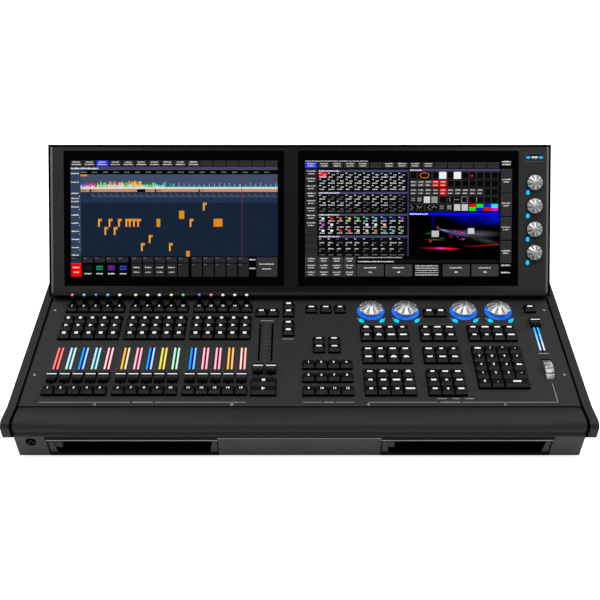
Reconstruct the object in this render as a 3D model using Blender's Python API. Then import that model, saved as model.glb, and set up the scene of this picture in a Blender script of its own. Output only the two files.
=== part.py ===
"""Stage lighting control desk with a tilting double display.

Metres, +Z up. The operator sits on the -Y side, and +X is on the operator's right.
Two empties carry the sloping parts. "panel_frame" has X across the desk, Y up the slope of the
control panel and Z out of it. "display_frame" stands on the tilt hinge, with X across, Y through
the display towards its back, and Z up its face.
"""

import math

import bmesh
import bpy
from mathutils import Matrix, Vector

# ---------------------------------------------------------------- overall sizes

DESK_WIDTH = 0.860
DESK_DEPTH = 0.540
DESK_NOSE = 0.0455            # how far the cheeks reach in front of the control panel
PANEL_FRONT_Y = DESK_NOSE - DESK_DEPTH / 2
PANEL_FRONT_Z = 0.080
PANEL_SLOPE = math.radians(12.0)
PANEL_LENGTH = 0.271          # along the slope
PANEL_THICKNESS = 0.003
GAP = 0.0003                  # between pieces that touch on the real desk
SHEET = 0.0025
FOOT_HEIGHT = 0.0037
FOOT_RADIUS = 0.014
FOOT_X = 0.400

CHEEK_THICKNESS = 0.015
CHEEK_INNER_X = DESK_WIDTH / 2 - CHEEK_THICKNESS
INSIDE_X = CHEEK_INNER_X - 0.0006
PAN_HALF_WIDTH = 0.417
PAN_BOTTOM_Z = 0.004
PAN_TOP_Z = 0.0475
PAN_FRONT_BOTTOM = -0.014     # in front of or behind the panel's front edge
PAN_FRONT_TOP = -0.031
PAN_REAR = 0.4845
DECK_TOP_Z = 0.150
WELL_FLOOR_Z = 0.112          # floor of the well behind the panel, under the display
WELL_FRONT = 0.2665
WELL_REAR = 0.330
CHEEK_REST_Z = PAN_TOP_Z + 0.002

# ---------------------------------------------------------------- controls on the panel

KEY_PITCH = 0.0195
KEY_BASE = 0.0186
KEY_TOP = 0.0142
KEY_HEIGHT = 0.007
MAT_BOTTOM = -0.0075          # rubber mat under the panel
MAT_TOP = -0.0058
MAT_MARGIN = 0.0015

PLAYBACK_COLUMNS = 5
PLAYBACK_PITCH = 0.01965
PLAYBACK_GROUP_X = (-0.3770, -0.27175, -0.1665)
FADER_NUDGE_X = (0.0012, 0.0004, 0.0)      # of a group's faders from the middles of its keys
PLAYBACK_SELECT_U = 0.2335
PLAYBACK_ROWS_U = 0.1632
FLASH_U = 0.0320

FADER_TRAVEL = 0.060
CROSSFADER_TRAVEL = 0.100
FADER_REST_U = 0.0630
CROSSFADER_X = (-0.0636, -0.0438)
CROSSFADER_REST_U = 0.0825
RIGHT_COLUMN_X = 0.3825
MASTER_REST_U = 0.1967        # the master fader stands at the top of its travel
FADER_END_ROOM = 0.014        # slot beyond the middle of the cap at each end
SLOT_WIDTH = 0.0032
CAP_WIDTH = 0.0162
CAP_LENGTH = 0.0235
CAP_HEIGHT = 0.0090
STEM_DEPTH = -0.015

ENCODER_X = (0.1177, 0.1750, 0.2708, 0.3282)
ENCODER_U = 0.228
ENCODER_RADIUS = 0.0195
ENCODER_HEIGHT = 0.0145
ENCODER_CLEARANCE = 0.0015
SHAFT_RADIUS = 0.003
SHAFT_HOLE_RADIUS = 0.0045
FLUTES = 8
FLUTE_DEPTH = 0.90            # radius in a flute, as a share of the knob's radius

WHEEL_U = 0.084
WHEEL_SINK = 0.022            # axis below the panel's face
WHEEL_RADIUS = 0.030
WHEEL_WIDTH = 0.014

GO_X = -0.0544
GO_WIDTH = 0.0382
GO_DEPTH = 0.0184
GO_U = 0.0308
STOP_U = 0.0500

# ---------------------------------------------------------------- display

DISPLAY_WIDTH = 0.837
DISPLAY_HEIGHT = 0.249
DISPLAY_LEAN = math.radians(23.0)
DISPLAY_THICKNESS = 0.036
BEZEL_THICKNESS = 0.012
BEZEL_CHAMFER = 0.0045
DISPLAY_EDGE = (0.2485, 0.1475)    # bottom front edge: behind the panel's front edge, height
HINGE = (0.300, 0.160)             # tilt axis, in the same way
HINGE_RADIUS = 0.006
HINGE_ARM_X = 0.300
HINGE_ARM_WIDTH = 0.012
HINGE_PIN_RADIUS = 0.003

SCREEN_WIDTH = 0.366
SCREEN_HEIGHT = 0.224
SCREEN_THICKNESS = 0.0085
SCREEN_BOTTOM = 0.0142
SCREEN_X = (-0.2089, 0.1810)
SCREEN_INSET = 0.0004

SIDE_ENCODER_X = 0.3898
SIDE_ENCODER_S = 0.0693
SIDE_ENCODER_PITCH = 0.0388
SIDE_ENCODER_COUNT = 4
SIDE_ENCODER_RADIUS = 0.0127
SIDE_ENCODER_HEIGHT = 0.012
USB_X = 0.3903
USB_S = 0.2272
USB_WIDTH = 0.0148
USB_HEIGHT = 0.0072
USB_DEPTH = 0.011
USB_WALL = 0.0007

# ---------------------------------------------------------------- front bays and rear

BAY_INNER_X = 0.120
BAY_OUTER_X = 0.371
BAY_BOTTOM_Z = 0.0088
BAY_TOP_Z = 0.0372
BAY_DEPTH = 0.090
BAY_WALL = 0.0015

REAR_PANEL_BOTTOM = PAN_TOP_Z + 0.0005
REAR_PANEL_TOP = DECK_TOP_Z - SHEET - 0.0005
XLR_COUNT = 8
XLR_PITCH = 0.036
XLR_RADIUS = 0.012
XLR_X = -0.300
XLR_Z = 0.096
INLET_X = 0.330
INLET_Z = 0.090

# ---------------------------------------------------------------- scene set-up

for old in list(bpy.data.objects):
    bpy.data.objects.remove(old, do_unlink=True)

PARTS = bpy.data.collections.new("lighting_desk")
CUTTERS = bpy.data.collections.new("cutters")
bpy.context.scene.collection.children.link(PARTS)
bpy.context.scene.collection.children.link(CUTTERS)


def material(name, color, roughness, metallic=0.0):
    """A Principled material with one flat colour."""
    made = bpy.data.materials.new(name)
    made.use_nodes = True
    shader = made.node_tree.nodes["Principled BSDF"]
    shader.inputs["Base Color"].default_value = (*color, 1.0)
    shader.inputs["Roughness"].default_value = roughness
    shader.inputs["Metallic"].default_value = metallic
    made.diffuse_color = (*color, 1.0)
    return made


PANEL_PAINT = material("panel_paint", (0.034, 0.034, 0.035), 0.55)
CASE_PAINT = material("case_paint", (0.040, 0.040, 0.041), 0.5)
ARMREST_RUBBER = material("armrest_rubber", (0.028, 0.028, 0.029), 0.7)
SHEET_STEEL = material("sheet_steel", (0.42, 0.43, 0.44), 0.4, 1.0)
KEY_PLASTIC = material("key_plastic", (0.008, 0.008, 0.008), 0.4)
CAP_PLASTIC = material("cap_plastic", (0.012, 0.012, 0.013), 0.35)
KNOB_METAL = material("knob_metal", (0.62, 0.62, 0.64), 0.3, 1.0)
SCREEN_GLASS = material("screen_glass", (0.006, 0.006, 0.008), 0.08)
BOARD_GREEN = material("board_green", (0.03, 0.16, 0.07), 0.5)
FOOT_RUBBER = material("foot_rubber", (0.012, 0.012, 0.012), 0.9)
SOCKET_BLACK = material("socket_black", (0.015, 0.015, 0.016), 0.45)


def empty(name, location, tilt):
    """An empty that parts are parented to."""
    made = bpy.data.objects.new(name, None)
    made.location = location
    made.rotation_euler = (tilt, 0.0, 0.0)
    made.empty_display_size = 0.05
    PARTS.objects.link(made)
    return made


def depth(value):
    """World Y of a place measured back from the panel's front edge."""
    return PANEL_FRONT_Y + value


PANEL_FRAME = empty("panel_frame", (0.0, PANEL_FRONT_Y, PANEL_FRONT_Z), PANEL_SLOPE)
DISPLAY_FRAME = empty("display_frame", (0.0, depth(HINGE[0]), HINGE[1]), -DISPLAY_LEAN)

# Place of the display's bottom front edge in the display frame.
EDGE_OFFSET = Vector((DISPLAY_EDGE[0] - HINGE[0], DISPLAY_EDGE[1] - HINGE[1]))
FACE_Y = EDGE_OFFSET.x * math.cos(DISPLAY_LEAN) - EDGE_OFFSET.y * math.sin(DISPLAY_LEAN)
BASE_Z = EDGE_OFFSET.x * math.sin(DISPLAY_LEAN) + EDGE_OFFSET.y * math.cos(DISPLAY_LEAN)
BACK_Y = FACE_Y + DISPLAY_THICKNESS


# ---------------------------------------------------------------- modelling helpers

def add_box(bm, low, high):
    """Add a box given by its two corners to a bmesh."""
    size = Vector(high) - Vector(low)
    middle = (Vector(high) + Vector(low)) / 2
    matrix = Matrix.Translation(middle) @ Matrix.Diagonal((*size, 1.0))
    return bmesh.ops.create_cube(bm, size=1.0, matrix=matrix)


def add_rod(bm, middle, radius, length, axis="Z", segments=16, top_radius=None):
    """Add a cylinder or cone frustum, centred on a point, along one axis."""
    turn = {
        "X": Matrix.Rotation(math.radians(90), 4, "Y"),
        "Y": Matrix.Rotation(math.radians(-90), 4, "X"),
        "Z": Matrix.Identity(4),
    }[axis]
    return bmesh.ops.create_cone(
        bm, cap_ends=True, segments=segments, radius1=radius,
        radius2=radius if top_radius is None else top_radius,
        depth=length, matrix=Matrix.Translation(middle) @ turn)


def add_keycap(bm, x, u, width=KEY_BASE, length=KEY_BASE, bottom=None):
    """Add one tapered key that stands on the mat and comes out through the panel."""
    foot = MAT_TOP - GAP if bottom is None else bottom
    height = KEY_HEIGHT - foot
    taper = KEY_BASE - KEY_TOP
    place = Matrix.Translation((x, u, foot + height / 2))
    turn = Matrix.Rotation(math.radians(45), 4, "Z")
    made = bmesh.ops.create_cone(
        bm, cap_ends=True, segments=4, radius1=math.sqrt(0.5), radius2=math.sqrt(0.5),
        depth=height, matrix=place @ turn)
    for vert in made["verts"]:
        top = vert.co.z > foot + height / 2
        shrink = taper if top else 0.0
        vert.co.x = x + (vert.co.x - x) * (width - shrink)
        vert.co.y = u + (vert.co.y - u) * (length - shrink)


def finish_object(name, bm, look, parent=None, origin=(0.0, 0.0, 0.0), collection=None):
    """Turn a bmesh in its parent's axes into an object whose origin is at a given place."""
    bmesh.ops.translate(bm, verts=bm.verts, vec=-Vector(origin))
    bmesh.ops.recalc_face_normals(bm, faces=bm.faces)
    mesh = bpy.data.meshes.new(name)
    bm.to_mesh(mesh)
    bm.free()
    return place_mesh(name, mesh, look, parent, origin, collection)


def place_mesh(name, mesh, look, parent, origin, collection=None):
    """Put a mesh in a collection as an object."""
    made = bpy.data.objects.new(name, mesh)
    made.location = origin
    if parent is not None:
        made.parent = parent
    if look is not None:
        mesh.materials.append(look)
    (collection or PARTS).objects.link(made)
    return made


def outline_object(name, points, low_x, high_x, look, collection=None):
    """A side outline (depth, height) extruded across the desk."""
    curve = bpy.data.curves.new(name + "_outline", "CURVE")
    curve.dimensions = "2D"
    curve.fill_mode = "BOTH"
    curve.extrude = (high_x - low_x) / 2
    spline = curve.splines.new("POLY")
    spline.points.add(len(points) - 1)
    for point, (back, height) in zip(spline.points, points):
        point.co = (depth(back), height, 0.0, 1.0)
    spline.use_cyclic_u = True
    drawn = bpy.data.objects.new(name + "_curve", curve)
    drawn.rotation_euler = (math.radians(90), 0.0, math.radians(90))
    drawn.location = ((low_x + high_x) / 2, 0.0, 0.0)
    PARTS.objects.link(drawn)
    bpy.context.view_layer.update()
    graph = bpy.context.evaluated_depsgraph_get()
    mesh = bpy.data.meshes.new_from_object(drawn.evaluated_get(graph))
    matrix = drawn.matrix_world.copy()
    bpy.data.objects.remove(drawn, do_unlink=True)
    bm = bmesh.new()
    bm.from_mesh(mesh)
    bmesh.ops.remove_doubles(bm, verts=bm.verts, dist=1e-6)
    bmesh.ops.dissolve_limit(bm, angle_limit=0.001, verts=bm.verts, edges=bm.edges)
    bmesh.ops.transform(bm, matrix=matrix, verts=bm.verts)
    return finish_object(name, bm, look, collection=collection)


def boolean(target, other, operation):
    """Cut one object from another, or join it, and keep the other as a cutter."""
    other.hide_render = True
    other.display_type = "WIRE"
    modifier = target.modifiers.new(operation.lower(), "BOOLEAN")
    modifier.operation = operation
    modifier.solver = "EXACT"
    modifier.object = other


def cutter(name, bm, parent=None):
    """A cutter object made from a bmesh."""
    return finish_object(name, bm, None, parent, collection=CUTTERS)


def arc(middle, radius, start, end, steps):
    """Points of an arc in a side outline, in degrees."""
    points = []
    for step in range(steps + 1):
        angle = math.radians(start + (end - start) * step / steps)
        points.append((middle[0] + radius * math.cos(angle), middle[1] + radius * math.sin(angle)))
    return points


def slope_point(along, out=0.0):
    """Side-outline point at a distance up the panel and a height out of its face."""
    return (along * math.cos(PANEL_SLOPE) - out * math.sin(PANEL_SLOPE),
            PANEL_FRONT_Z + along * math.sin(PANEL_SLOPE) + out * math.cos(PANEL_SLOPE))


# ---------------------------------------------------------------- case

def nose_outline(proud):
    """Front end of the armrest or of a cheek, from its underside up to the top."""
    lower = arc((-0.0335, PANEL_FRONT_Z - 0.0235), 0.0065 + proud, 265, 190, 3)
    upper = arc((-0.0355, PANEL_FRONT_Z - 0.0105), 0.0090 + proud, 178, 92, 5)
    return lower + upper


def make_armrest():
    """Soft front rail between the cheeks."""
    back = -0.0008
    points = nose_outline(0.0) + [(back, PANEL_FRONT_Z), (back, PANEL_FRONT_Z - 0.030)]
    outline_object("armrest", points, -INSIDE_X, INSIDE_X, ARMREST_RUBBER)


def make_cheek(name, side):
    """End cheek. Beside the display only its outer wall remains."""
    rear = DESK_DEPTH - DESK_NOSE
    top = DECK_TOP_Z + 0.002
    rise = slope_point(0.305, 0.001)
    points = nose_outline(0.001) + [
        slope_point(0.0, 0.001), rise, (rise[0] + 0.030, top), (rear - 0.012, top),
        (rear - 0.003, top - 0.005), (rear, top - 0.014), (rear, CHEEK_REST_Z + 0.010),
        (rear - 0.010, CHEEK_REST_Z)]
    inner, outer = CHEEK_INNER_X, DESK_WIDTH / 2
    low, high = (inner, outer) if side > 0 else (-outer, -inner)
    cheek = outline_object(name, points, low, high, CASE_PAINT)
    wall = 0.0085
    bm = bmesh.new()
    edges = sorted((side * (inner - 0.002), side * (outer - wall)))
    add_box(bm, (edges[0], depth(WELL_FRONT - 0.004), WELL_FLOOR_Z - 0.004),
            (edges[1], depth(WELL_REAR + 0.012), 0.2))
    boolean(cheek, cutter(name + "_recess", bm), "DIFFERENCE")


def make_base_pan():
    """Lower tray with an undercut front, open at the top."""
    outer = [(PAN_FRONT_TOP, PAN_TOP_Z), (PAN_FRONT_BOTTOM, PAN_BOTTOM_Z),
             (PAN_REAR, PAN_BOTTOM_Z), (PAN_REAR, PAN_TOP_Z)]
    pan = outline_object("base_pan", outer, -PAN_HALF_WIDTH, PAN_HALF_WIDTH, CASE_PAINT)
    lean = (PAN_FRONT_BOTTOM - PAN_FRONT_TOP) / (PAN_TOP_Z - PAN_BOTTOM_Z)
    floor = PAN_BOTTOM_Z + SHEET
    above = 0.010
    front = PAN_FRONT_BOTTOM + SHEET
    inner = [(front - lean * (PAN_TOP_Z + above - PAN_BOTTOM_Z), PAN_TOP_Z + above),
             (front - lean * SHEET, floor),
             (PAN_REAR - SHEET, floor), (PAN_REAR - SHEET, PAN_TOP_Z + above)]
    inside = PAN_HALF_WIDTH - SHEET
    hollow = outline_object("pan_hollow", inner, -inside, inside, None, CUTTERS)
    boolean(pan, hollow, "DIFFERENCE")
    bm = bmesh.new()
    for side in (-1, 1):
        ends = sorted((side * (BAY_INNER_X - GAP), side * (BAY_OUTER_X + GAP)))
        add_box(bm, (ends[0], depth(-0.045), BAY_BOTTOM_Z - GAP),
                (ends[1], depth(0.010), BAY_TOP_Z + GAP))
    boolean(pan, cutter("bay_mouths", bm), "DIFFERENCE")


def make_front_bay(name, side):
    """Open-fronted tray behind a mouth in the pan."""
    ends = sorted((side * BAY_INNER_X, side * BAY_OUTER_X))
    lean = (PAN_FRONT_BOTTOM - PAN_FRONT_TOP) / (PAN_TOP_Z - PAN_BOTTOM_Z)

    def front_at(height):
        return PAN_FRONT_BOTTOM - lean * (height - PAN_BOTTOM_Z)

    back = PAN_FRONT_TOP + BAY_DEPTH
    points = [(front_at(BAY_TOP_Z), BAY_TOP_Z), (front_at(BAY_BOTTOM_Z), BAY_BOTTOM_Z),
              (back, BAY_BOTTOM_Z), (back, BAY_TOP_Z)]
    tray = outline_object(name, points, ends[0], ends[1], SHEET_STEEL)
    bm = bmesh.new()
    add_box(bm, (ends[0] + BAY_WALL, depth(-0.060), BAY_BOTTOM_Z + BAY_WALL),
            (ends[1] - BAY_WALL, depth(back - BAY_WALL), BAY_TOP_Z - BAY_WALL))
    boolean(tray, cutter(name + "_hollow", bm), "DIFFERENCE")


def make_feet():
    """Four rubber feet under the pan."""
    for row, back in (("front", 0.020), ("rear", 0.455)):
        for side, x in (("left", -FOOT_X), ("right", FOOT_X)):
            bm = bmesh.new()
            add_rod(bm, (x, depth(back), FOOT_HEIGHT / 2), FOOT_RADIUS * 0.88, FOOT_HEIGHT,
                    segments=20, top_radius=FOOT_RADIUS)
            finish_object(f"foot_{row}_{side}", bm, FOOT_RUBBER)


def make_rear_cover():
    """Bent sheet that makes the well under the display and the deck behind it."""
    outer = [(WELL_FRONT, 0.1300), (WELL_FRONT, WELL_FLOOR_Z), (WELL_REAR, WELL_FLOOR_Z),
             (WELL_REAR + 0.016, DECK_TOP_Z), (0.486, DECK_TOP_Z), (0.4915, DECK_TOP_Z - 0.0055),
             (0.4915, DECK_TOP_Z - 0.022)]
    inner = [(0.4890, DECK_TOP_Z - 0.022), (0.4890, DECK_TOP_Z - 0.0045),
             (0.4850, DECK_TOP_Z - SHEET), (WELL_REAR + 0.0178, DECK_TOP_Z - SHEET),
             (WELL_REAR + 0.0018, WELL_FLOOR_Z - SHEET),
             (WELL_FRONT - SHEET, WELL_FLOOR_Z - SHEET), (WELL_FRONT - SHEET, 0.1300)]
    outline_object("rear_cover", outer + inner, -INSIDE_X, INSIDE_X, CASE_PAINT)


def make_rear_panel():
    """Connector plate with cut-outs and rows of vents."""
    front = depth(PAN_REAR - SHEET)
    back = depth(PAN_REAR)
    bm = bmesh.new()
    add_box(bm, (-INSIDE_X, front, REAR_PANEL_BOTTOM), (INSIDE_X, back, REAR_PANEL_TOP))
    plate = finish_object("rear_panel", bm, CASE_PAINT)
    cuts = bmesh.new()
    for index in range(XLR_COUNT):
        x = XLR_X + index * XLR_PITCH
        add_rod(cuts, (x, back, XLR_Z), XLR_RADIUS + GAP, 0.02, "Y", 16)
    add_box(cuts, (INLET_X - 0.0145, front - 0.01, INLET_Z - 0.0105),
            (INLET_X + 0.0145, back + 0.01, INLET_Z + 0.0105))
    for row in range(2):
        for column in range(8):
            x = 0.070 + column * 0.022
            z = 0.070 + row * 0.040
            add_box(cuts, (x - 0.008, front - 0.01, z - 0.003), (x + 0.008, back + 0.01, z + 0.003))
    boolean(plate, cutter("rear_panel_cuts", cuts), "DIFFERENCE")


def make_dmx_connectors():
    """Board with a row of round output sockets that come out through the rear panel."""
    behind = depth(PAN_REAR - SHEET - 0.0010)
    bm = bmesh.new()
    span = XLR_PITCH * (XLR_COUNT - 1)
    add_box(bm, (XLR_X - 0.018, behind - 0.010, XLR_Z - 0.016),
            (XLR_X + span + 0.018, behind, XLR_Z + 0.016))
    block = finish_object("dmx_connector_block", bm, SOCKET_BLACK)
    rods = bmesh.new()
    for index in range(XLR_COUNT):
        x = XLR_X + index * XLR_PITCH
        add_rod(rods, (x, behind, XLR_Z), XLR_RADIUS, 0.011, "Y", 16)
    boolean(block, cutter("dmx_shells", rods), "UNION")


def make_power_inlet():
    """Mains inlet with a hollow for the connector and three blades."""
    face = depth(PAN_REAR + GAP)
    bm = bmesh.new()
    add_box(bm, (INLET_X - 0.0135, face - 0.026, INLET_Z - 0.0098),
            (INLET_X + 0.0135, face + 0.001, INLET_Z + 0.0098))
    inlet = finish_object("power_inlet", bm, SOCKET_BLACK)
    flange = bmesh.new()
    add_box(flange, (INLET_X - 0.025, face, INLET_Z - 0.0140),
            (INLET_X + 0.025, face + 0.0028, INLET_Z + 0.0140))
    boolean(inlet, cutter("inlet_flange", flange), "UNION")
    hollow = bmesh.new()
    add_box(hollow, (INLET_X - 0.0120, face - 0.0165, INLET_Z - 0.0082),
            (INLET_X + 0.0120, face + 0.010, INLET_Z + 0.0082))
    boolean(inlet, cutter("inlet_hollow", hollow), "DIFFERENCE")
    blades = bmesh.new()
    for x, z in ((-0.007, -0.002), (0.007, -0.002), (0.0, 0.002)):
        add_box(blades, (INLET_X + x - 0.001, face - 0.018, INLET_Z + z - 0.002),
                (INLET_X + x + 0.001, face - 0.004, INLET_Z + z + 0.002))
    boolean(inlet, cutter("inlet_blades", blades), "UNION")


def make_electronics():
    """Main board on standoffs and the power supply, both on the pan's floor."""
    floor = PAN_BOTTOM_Z + SHEET + GAP
    bm = bmesh.new()
    board_low = Vector((-0.180, depth(0.150), floor + 0.006))
    board_high = Vector((0.180, depth(0.390), floor + 0.0076))
    add_box(bm, board_low, board_high)
    board = finish_object("mainboard", bm, BOARD_GREEN)
    parts = bmesh.new()
    inset = 0.012
    for x in (board_low.x + inset, board_high.x - inset):
        for y in (board_low.y + inset, board_high.y - inset):
            add_rod(parts, (x, y, floor + 0.0035), 0.003, 0.007, segments=8)
    add_box(parts, (-0.045, depth(0.230), floor + 0.007), (0.045, depth(0.310), floor + 0.034))
    add_box(parts, (-0.160, depth(0.330), floor + 0.007), (-0.080, depth(0.375), floor + 0.020))
    add_box(parts, (0.080, depth(0.180), floor + 0.007), (0.150, depth(0.240), floor + 0.014))
    boolean(board, cutter("mainboard_parts", parts), "UNION")
    supply = bmesh.new()
    add_box(supply, (0.235, depth(0.330), floor), (0.385, depth(0.430), floor + 0.042))
    finish_object("power_supply", supply, SHEET_STEEL)


# ---------------------------------------------------------------- panel and keys

def block(x, u, columns, rows, x_pitch=KEY_PITCH, u_pitch=KEY_PITCH):
    """A rectangle of keys, given by the centre of its left front key."""
    return {"x": x, "u": u, "columns": columns, "rows": rows, "x_pitch": x_pitch,
            "u_pitch": u_pitch}


def playback_blocks(u, rows):
    """The same rows of keys above or below each group of playback faders."""
    return [block(x, u, PLAYBACK_COLUMNS, rows, PLAYBACK_PITCH) for x in PLAYBACK_GROUP_X]


KEY_BANKS = {
    "playback_keys": playback_blocks(PLAYBACK_ROWS_U, 3) + playback_blocks(PLAYBACK_SELECT_U, 1),
    "flash_keys": playback_blocks(FLASH_U, 1),
    "page_keys": [block(-0.0632, 0.2220, 2, 1)],
    "centre_keys": [block(-0.0182, 0.2216, 1, 2), block(-0.0182, 0.1716, 1, 2)]
    + [block(0.0196 + 0.0237 * index, 0.2318, 1, 1) for index in range(3)]
    + [block(x, 0.1302, 1, 2) for x in (0.0306, 0.0549)]
    + [block(0.0138, 0.0308 + 0.0300 * index, 4, 1, 0.0194) for index in range(3)],
    "programmer_keys": [
        block(x, u, columns, rows)
        for x, columns in ((0.1072, 4), (0.2025, 3))
        for u, rows in ((0.1586, 2), (0.1044, 2), (0.0307, 3))],
    "numeric_keypad": [block(0.2793, 0.1586, 4, 2), block(0.2793, 0.0468, 4, 5)],
}


def block_corners(keys, margin):
    """Low and high corner of a key block in the panel's plane."""
    half = KEY_BASE / 2 + margin
    low = (keys["x"] - half, keys["u"] - half)
    high = (keys["x"] + (keys["columns"] - 1) * keys["x_pitch"] + half,
            keys["u"] + (keys["rows"] - 1) * keys["u_pitch"] + half)
    return low, high


def bank_corners(blocks, margin):
    """Low and high corner of everything in a bank."""
    corners = [block_corners(keys, margin) for keys in blocks]
    low = [min(corner[0][axis] for corner in corners) for axis in (0, 1)]
    high = [max(corner[1][axis] for corner in corners) for axis in (0, 1)]
    return low, high


def make_key_bank(name, blocks):
    """One rubber mat under the panel with all its keys standing on it."""
    low, high = bank_corners(blocks, MAT_MARGIN)
    bm = bmesh.new()
    add_box(bm, (*low, MAT_BOTTOM), (*high, MAT_TOP))
    mat = finish_object(name, bm, KEY_PLASTIC, PANEL_FRAME)
    caps = bmesh.new()
    for keys in blocks:
        for row in range(keys["rows"]):
            for column in range(keys["columns"]):
                x = keys["x"] + column * keys["x_pitch"]
                u = keys["u"] + row * keys["u_pitch"]
                width = KEY_BASE
                if name == "numeric_keypad" and keys["rows"] == 5 and row == 0 and column >= 2:
                    if column == 3:
                        continue
                    width = KEY_BASE + keys["x_pitch"]
                    x += keys["x_pitch"] / 2
                add_keycap(caps, x, u, width)
    boolean(mat, cutter(name + "_caps", caps, PANEL_FRAME), "UNION")


def make_go_keys():
    """The two large keys that run and stop a cue."""
    for name, u in (("go_key", GO_U), ("stop_key", STOP_U)):
        bm = bmesh.new()
        add_keycap(bm, 0.0, 0.0, GO_WIDTH, GO_DEPTH, MAT_BOTTOM)
        finish_object(name, bm, KEY_PLASTIC, PANEL_FRAME).location = (GO_X, u, 0.0)


def fader_places():
    """Name, x, middle of the cap at rest, and the two ends of its travel."""
    places = []
    for group, first in enumerate(PLAYBACK_GROUP_X):
        for column in range(PLAYBACK_COLUMNS):
            number = group * PLAYBACK_COLUMNS + column + 1
            x = first + FADER_NUDGE_X[group] + column * PLAYBACK_PITCH
            places.append((f"playback_fader_{number:02d}", x,
                           FADER_REST_U, FADER_REST_U, FADER_REST_U + FADER_TRAVEL))
    for index, x in enumerate(CROSSFADER_X):
        places.append((f"crossfader_{index + 1}", x, CROSSFADER_REST_U, CROSSFADER_REST_U,
                       CROSSFADER_REST_U + CROSSFADER_TRAVEL))
    places.append(("master_fader", RIGHT_COLUMN_X, MASTER_REST_U, MASTER_REST_U - FADER_TRAVEL,
                   MASTER_REST_U))
    return places


def make_control_panel():
    """Sloping plate with an opening for every control."""
    edge = 0.0009
    bm = bmesh.new()
    add_box(bm, (-INSIDE_X, edge, -PANEL_THICKNESS), (INSIDE_X, PANEL_LENGTH, 0.0))
    plate = finish_object("control_panel", bm, PANEL_PAINT, PANEL_FRAME)
    low, high = -PANEL_THICKNESS - 0.005, 0.005
    cuts = bmesh.new()
    for blocks in KEY_BANKS.values():
        for keys in blocks:
            corner, far = block_corners(keys, 0.0004)
            add_box(cuts, (*corner, low), (*far, high))
    for name, x, rest, start, end in fader_places():
        add_box(cuts, (x - SLOT_WIDTH / 2, start - FADER_END_ROOM, low),
                (x + SLOT_WIDTH / 2, end + FADER_END_ROOM, high))
    for x in ENCODER_X:
        add_rod(cuts, (x, ENCODER_U, 0.0), SHAFT_HOLE_RADIUS, 0.02, segments=16)
    half_width = GO_WIDTH / 2 + 0.0005
    add_box(cuts, (GO_X - half_width, GO_U - GO_DEPTH / 2 - 0.0005, low),
            (GO_X + half_width, STOP_U + GO_DEPTH / 2 + 0.0005, high))
    chord = math.sqrt(WHEEL_RADIUS ** 2 - WHEEL_SINK ** 2) + 0.0035
    add_box(cuts, (RIGHT_COLUMN_X - WHEEL_WIDTH / 2 - 0.0008, WHEEL_U - chord, low),
            (RIGHT_COLUMN_X + WHEEL_WIDTH / 2 + 0.0008, WHEEL_U + chord, high))
    boolean(plate, cutter("panel_openings", cuts, PANEL_FRAME), "DIFFERENCE")


def make_faders():
    """A cap on a flat stem for every fader."""
    for name, x, rest, start, end in fader_places():
        bm = bmesh.new()
        half = CAP_LENGTH / 2
        made = add_box(bm, (-CAP_WIDTH / 2, -half, 0.0012), (CAP_WIDTH / 2, half, CAP_HEIGHT))
        for vert in made["verts"]:
            if vert.co.z > CAP_HEIGHT / 2:
                vert.co.x *= 0.94
                vert.co.y *= 0.90
        cap = finish_object(name, bm, CAP_PLASTIC, PANEL_FRAME)
        cap.location = (x, rest, 0.0)
        stem = bmesh.new()
        add_box(stem, (-0.0010, -0.002, STEM_DEPTH), (0.0010, 0.002, 0.002))
        stem_object = cutter(name + "_stem", stem, PANEL_FRAME)
        stem_object.location = (x, rest, 0.0)
        boolean(cap, stem_object, "UNION")


def make_fader_board():
    """Circuit board with one slotted housing under every fader."""
    left = PLAYBACK_GROUP_X[0] - 0.012
    low, high = -0.0245, -0.0229
    bm = bmesh.new()
    add_box(bm, (left, 0.040, low), (CROSSFADER_X[1] + 0.010, 0.200, high))
    board = finish_object("fader_board", bm, BOARD_GREEN, PANEL_FRAME)
    wing = bmesh.new()
    add_box(wing, (CROSSFADER_X[1], 0.126, low), (RIGHT_COLUMN_X + 0.012, 0.200, high))
    boolean(board, cutter("fader_board_wing", wing, PANEL_FRAME), "UNION")
    housings = bmesh.new()
    grooves = bmesh.new()
    for name, x, rest, start, end in fader_places():
        room = FADER_END_ROOM - 0.006
        add_box(housings, (x - 0.0055, start - room - 0.004, high - 0.001),
                (x + 0.0055, end + room + 0.004, -0.0050))
        add_box(grooves, (x - 0.0016, start - room, -0.0185), (x + 0.0016, end + room, 0.0))
    boolean(board, cutter("fader_housings", housings, PANEL_FRAME), "UNION")
    boolean(board, cutter("fader_grooves", grooves, PANEL_FRAME), "DIFFERENCE")


def add_fluted_knob(bm, radius, height, clearance):
    """A knob with eight flutes around the Z axis."""
    sides = 2 * FLUTES
    made = add_rod(bm, (0, 0, clearance + height / 2), radius, height, segments=sides,
                   top_radius=radius * 0.92)
    for vert in made["verts"]:
        turn = round(math.atan2(vert.co.y, vert.co.x) / (2 * math.pi / sides))
        if turn % 2:
            vert.co.x *= FLUTE_DEPTH
            vert.co.y *= FLUTE_DEPTH


def make_knob(name, parent, place, radius, height, clearance, shaft_depth, facing="Z"):
    """Fluted knob joined to its shaft, with its origin on the shaft's axis."""
    turn = Matrix.Rotation(math.radians(90), 4, "X") if facing == "Y" else Matrix.Identity(4)
    bm = bmesh.new()
    add_fluted_knob(bm, radius, height, clearance)
    bmesh.ops.transform(bm, matrix=turn, verts=bm.verts)
    knob = finish_object(name, bm, KNOB_METAL, parent)
    knob.location = place
    rod = bmesh.new()
    top = clearance + height / 2
    add_rod(rod, (0, 0, (top - shaft_depth) / 2), SHAFT_RADIUS, top + shaft_depth, segments=12)
    bmesh.ops.transform(rod, matrix=turn, verts=rod.verts)
    shaft = cutter(name + "_shaft", rod, parent)
    shaft.location = place
    boolean(knob, shaft, "UNION")


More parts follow.
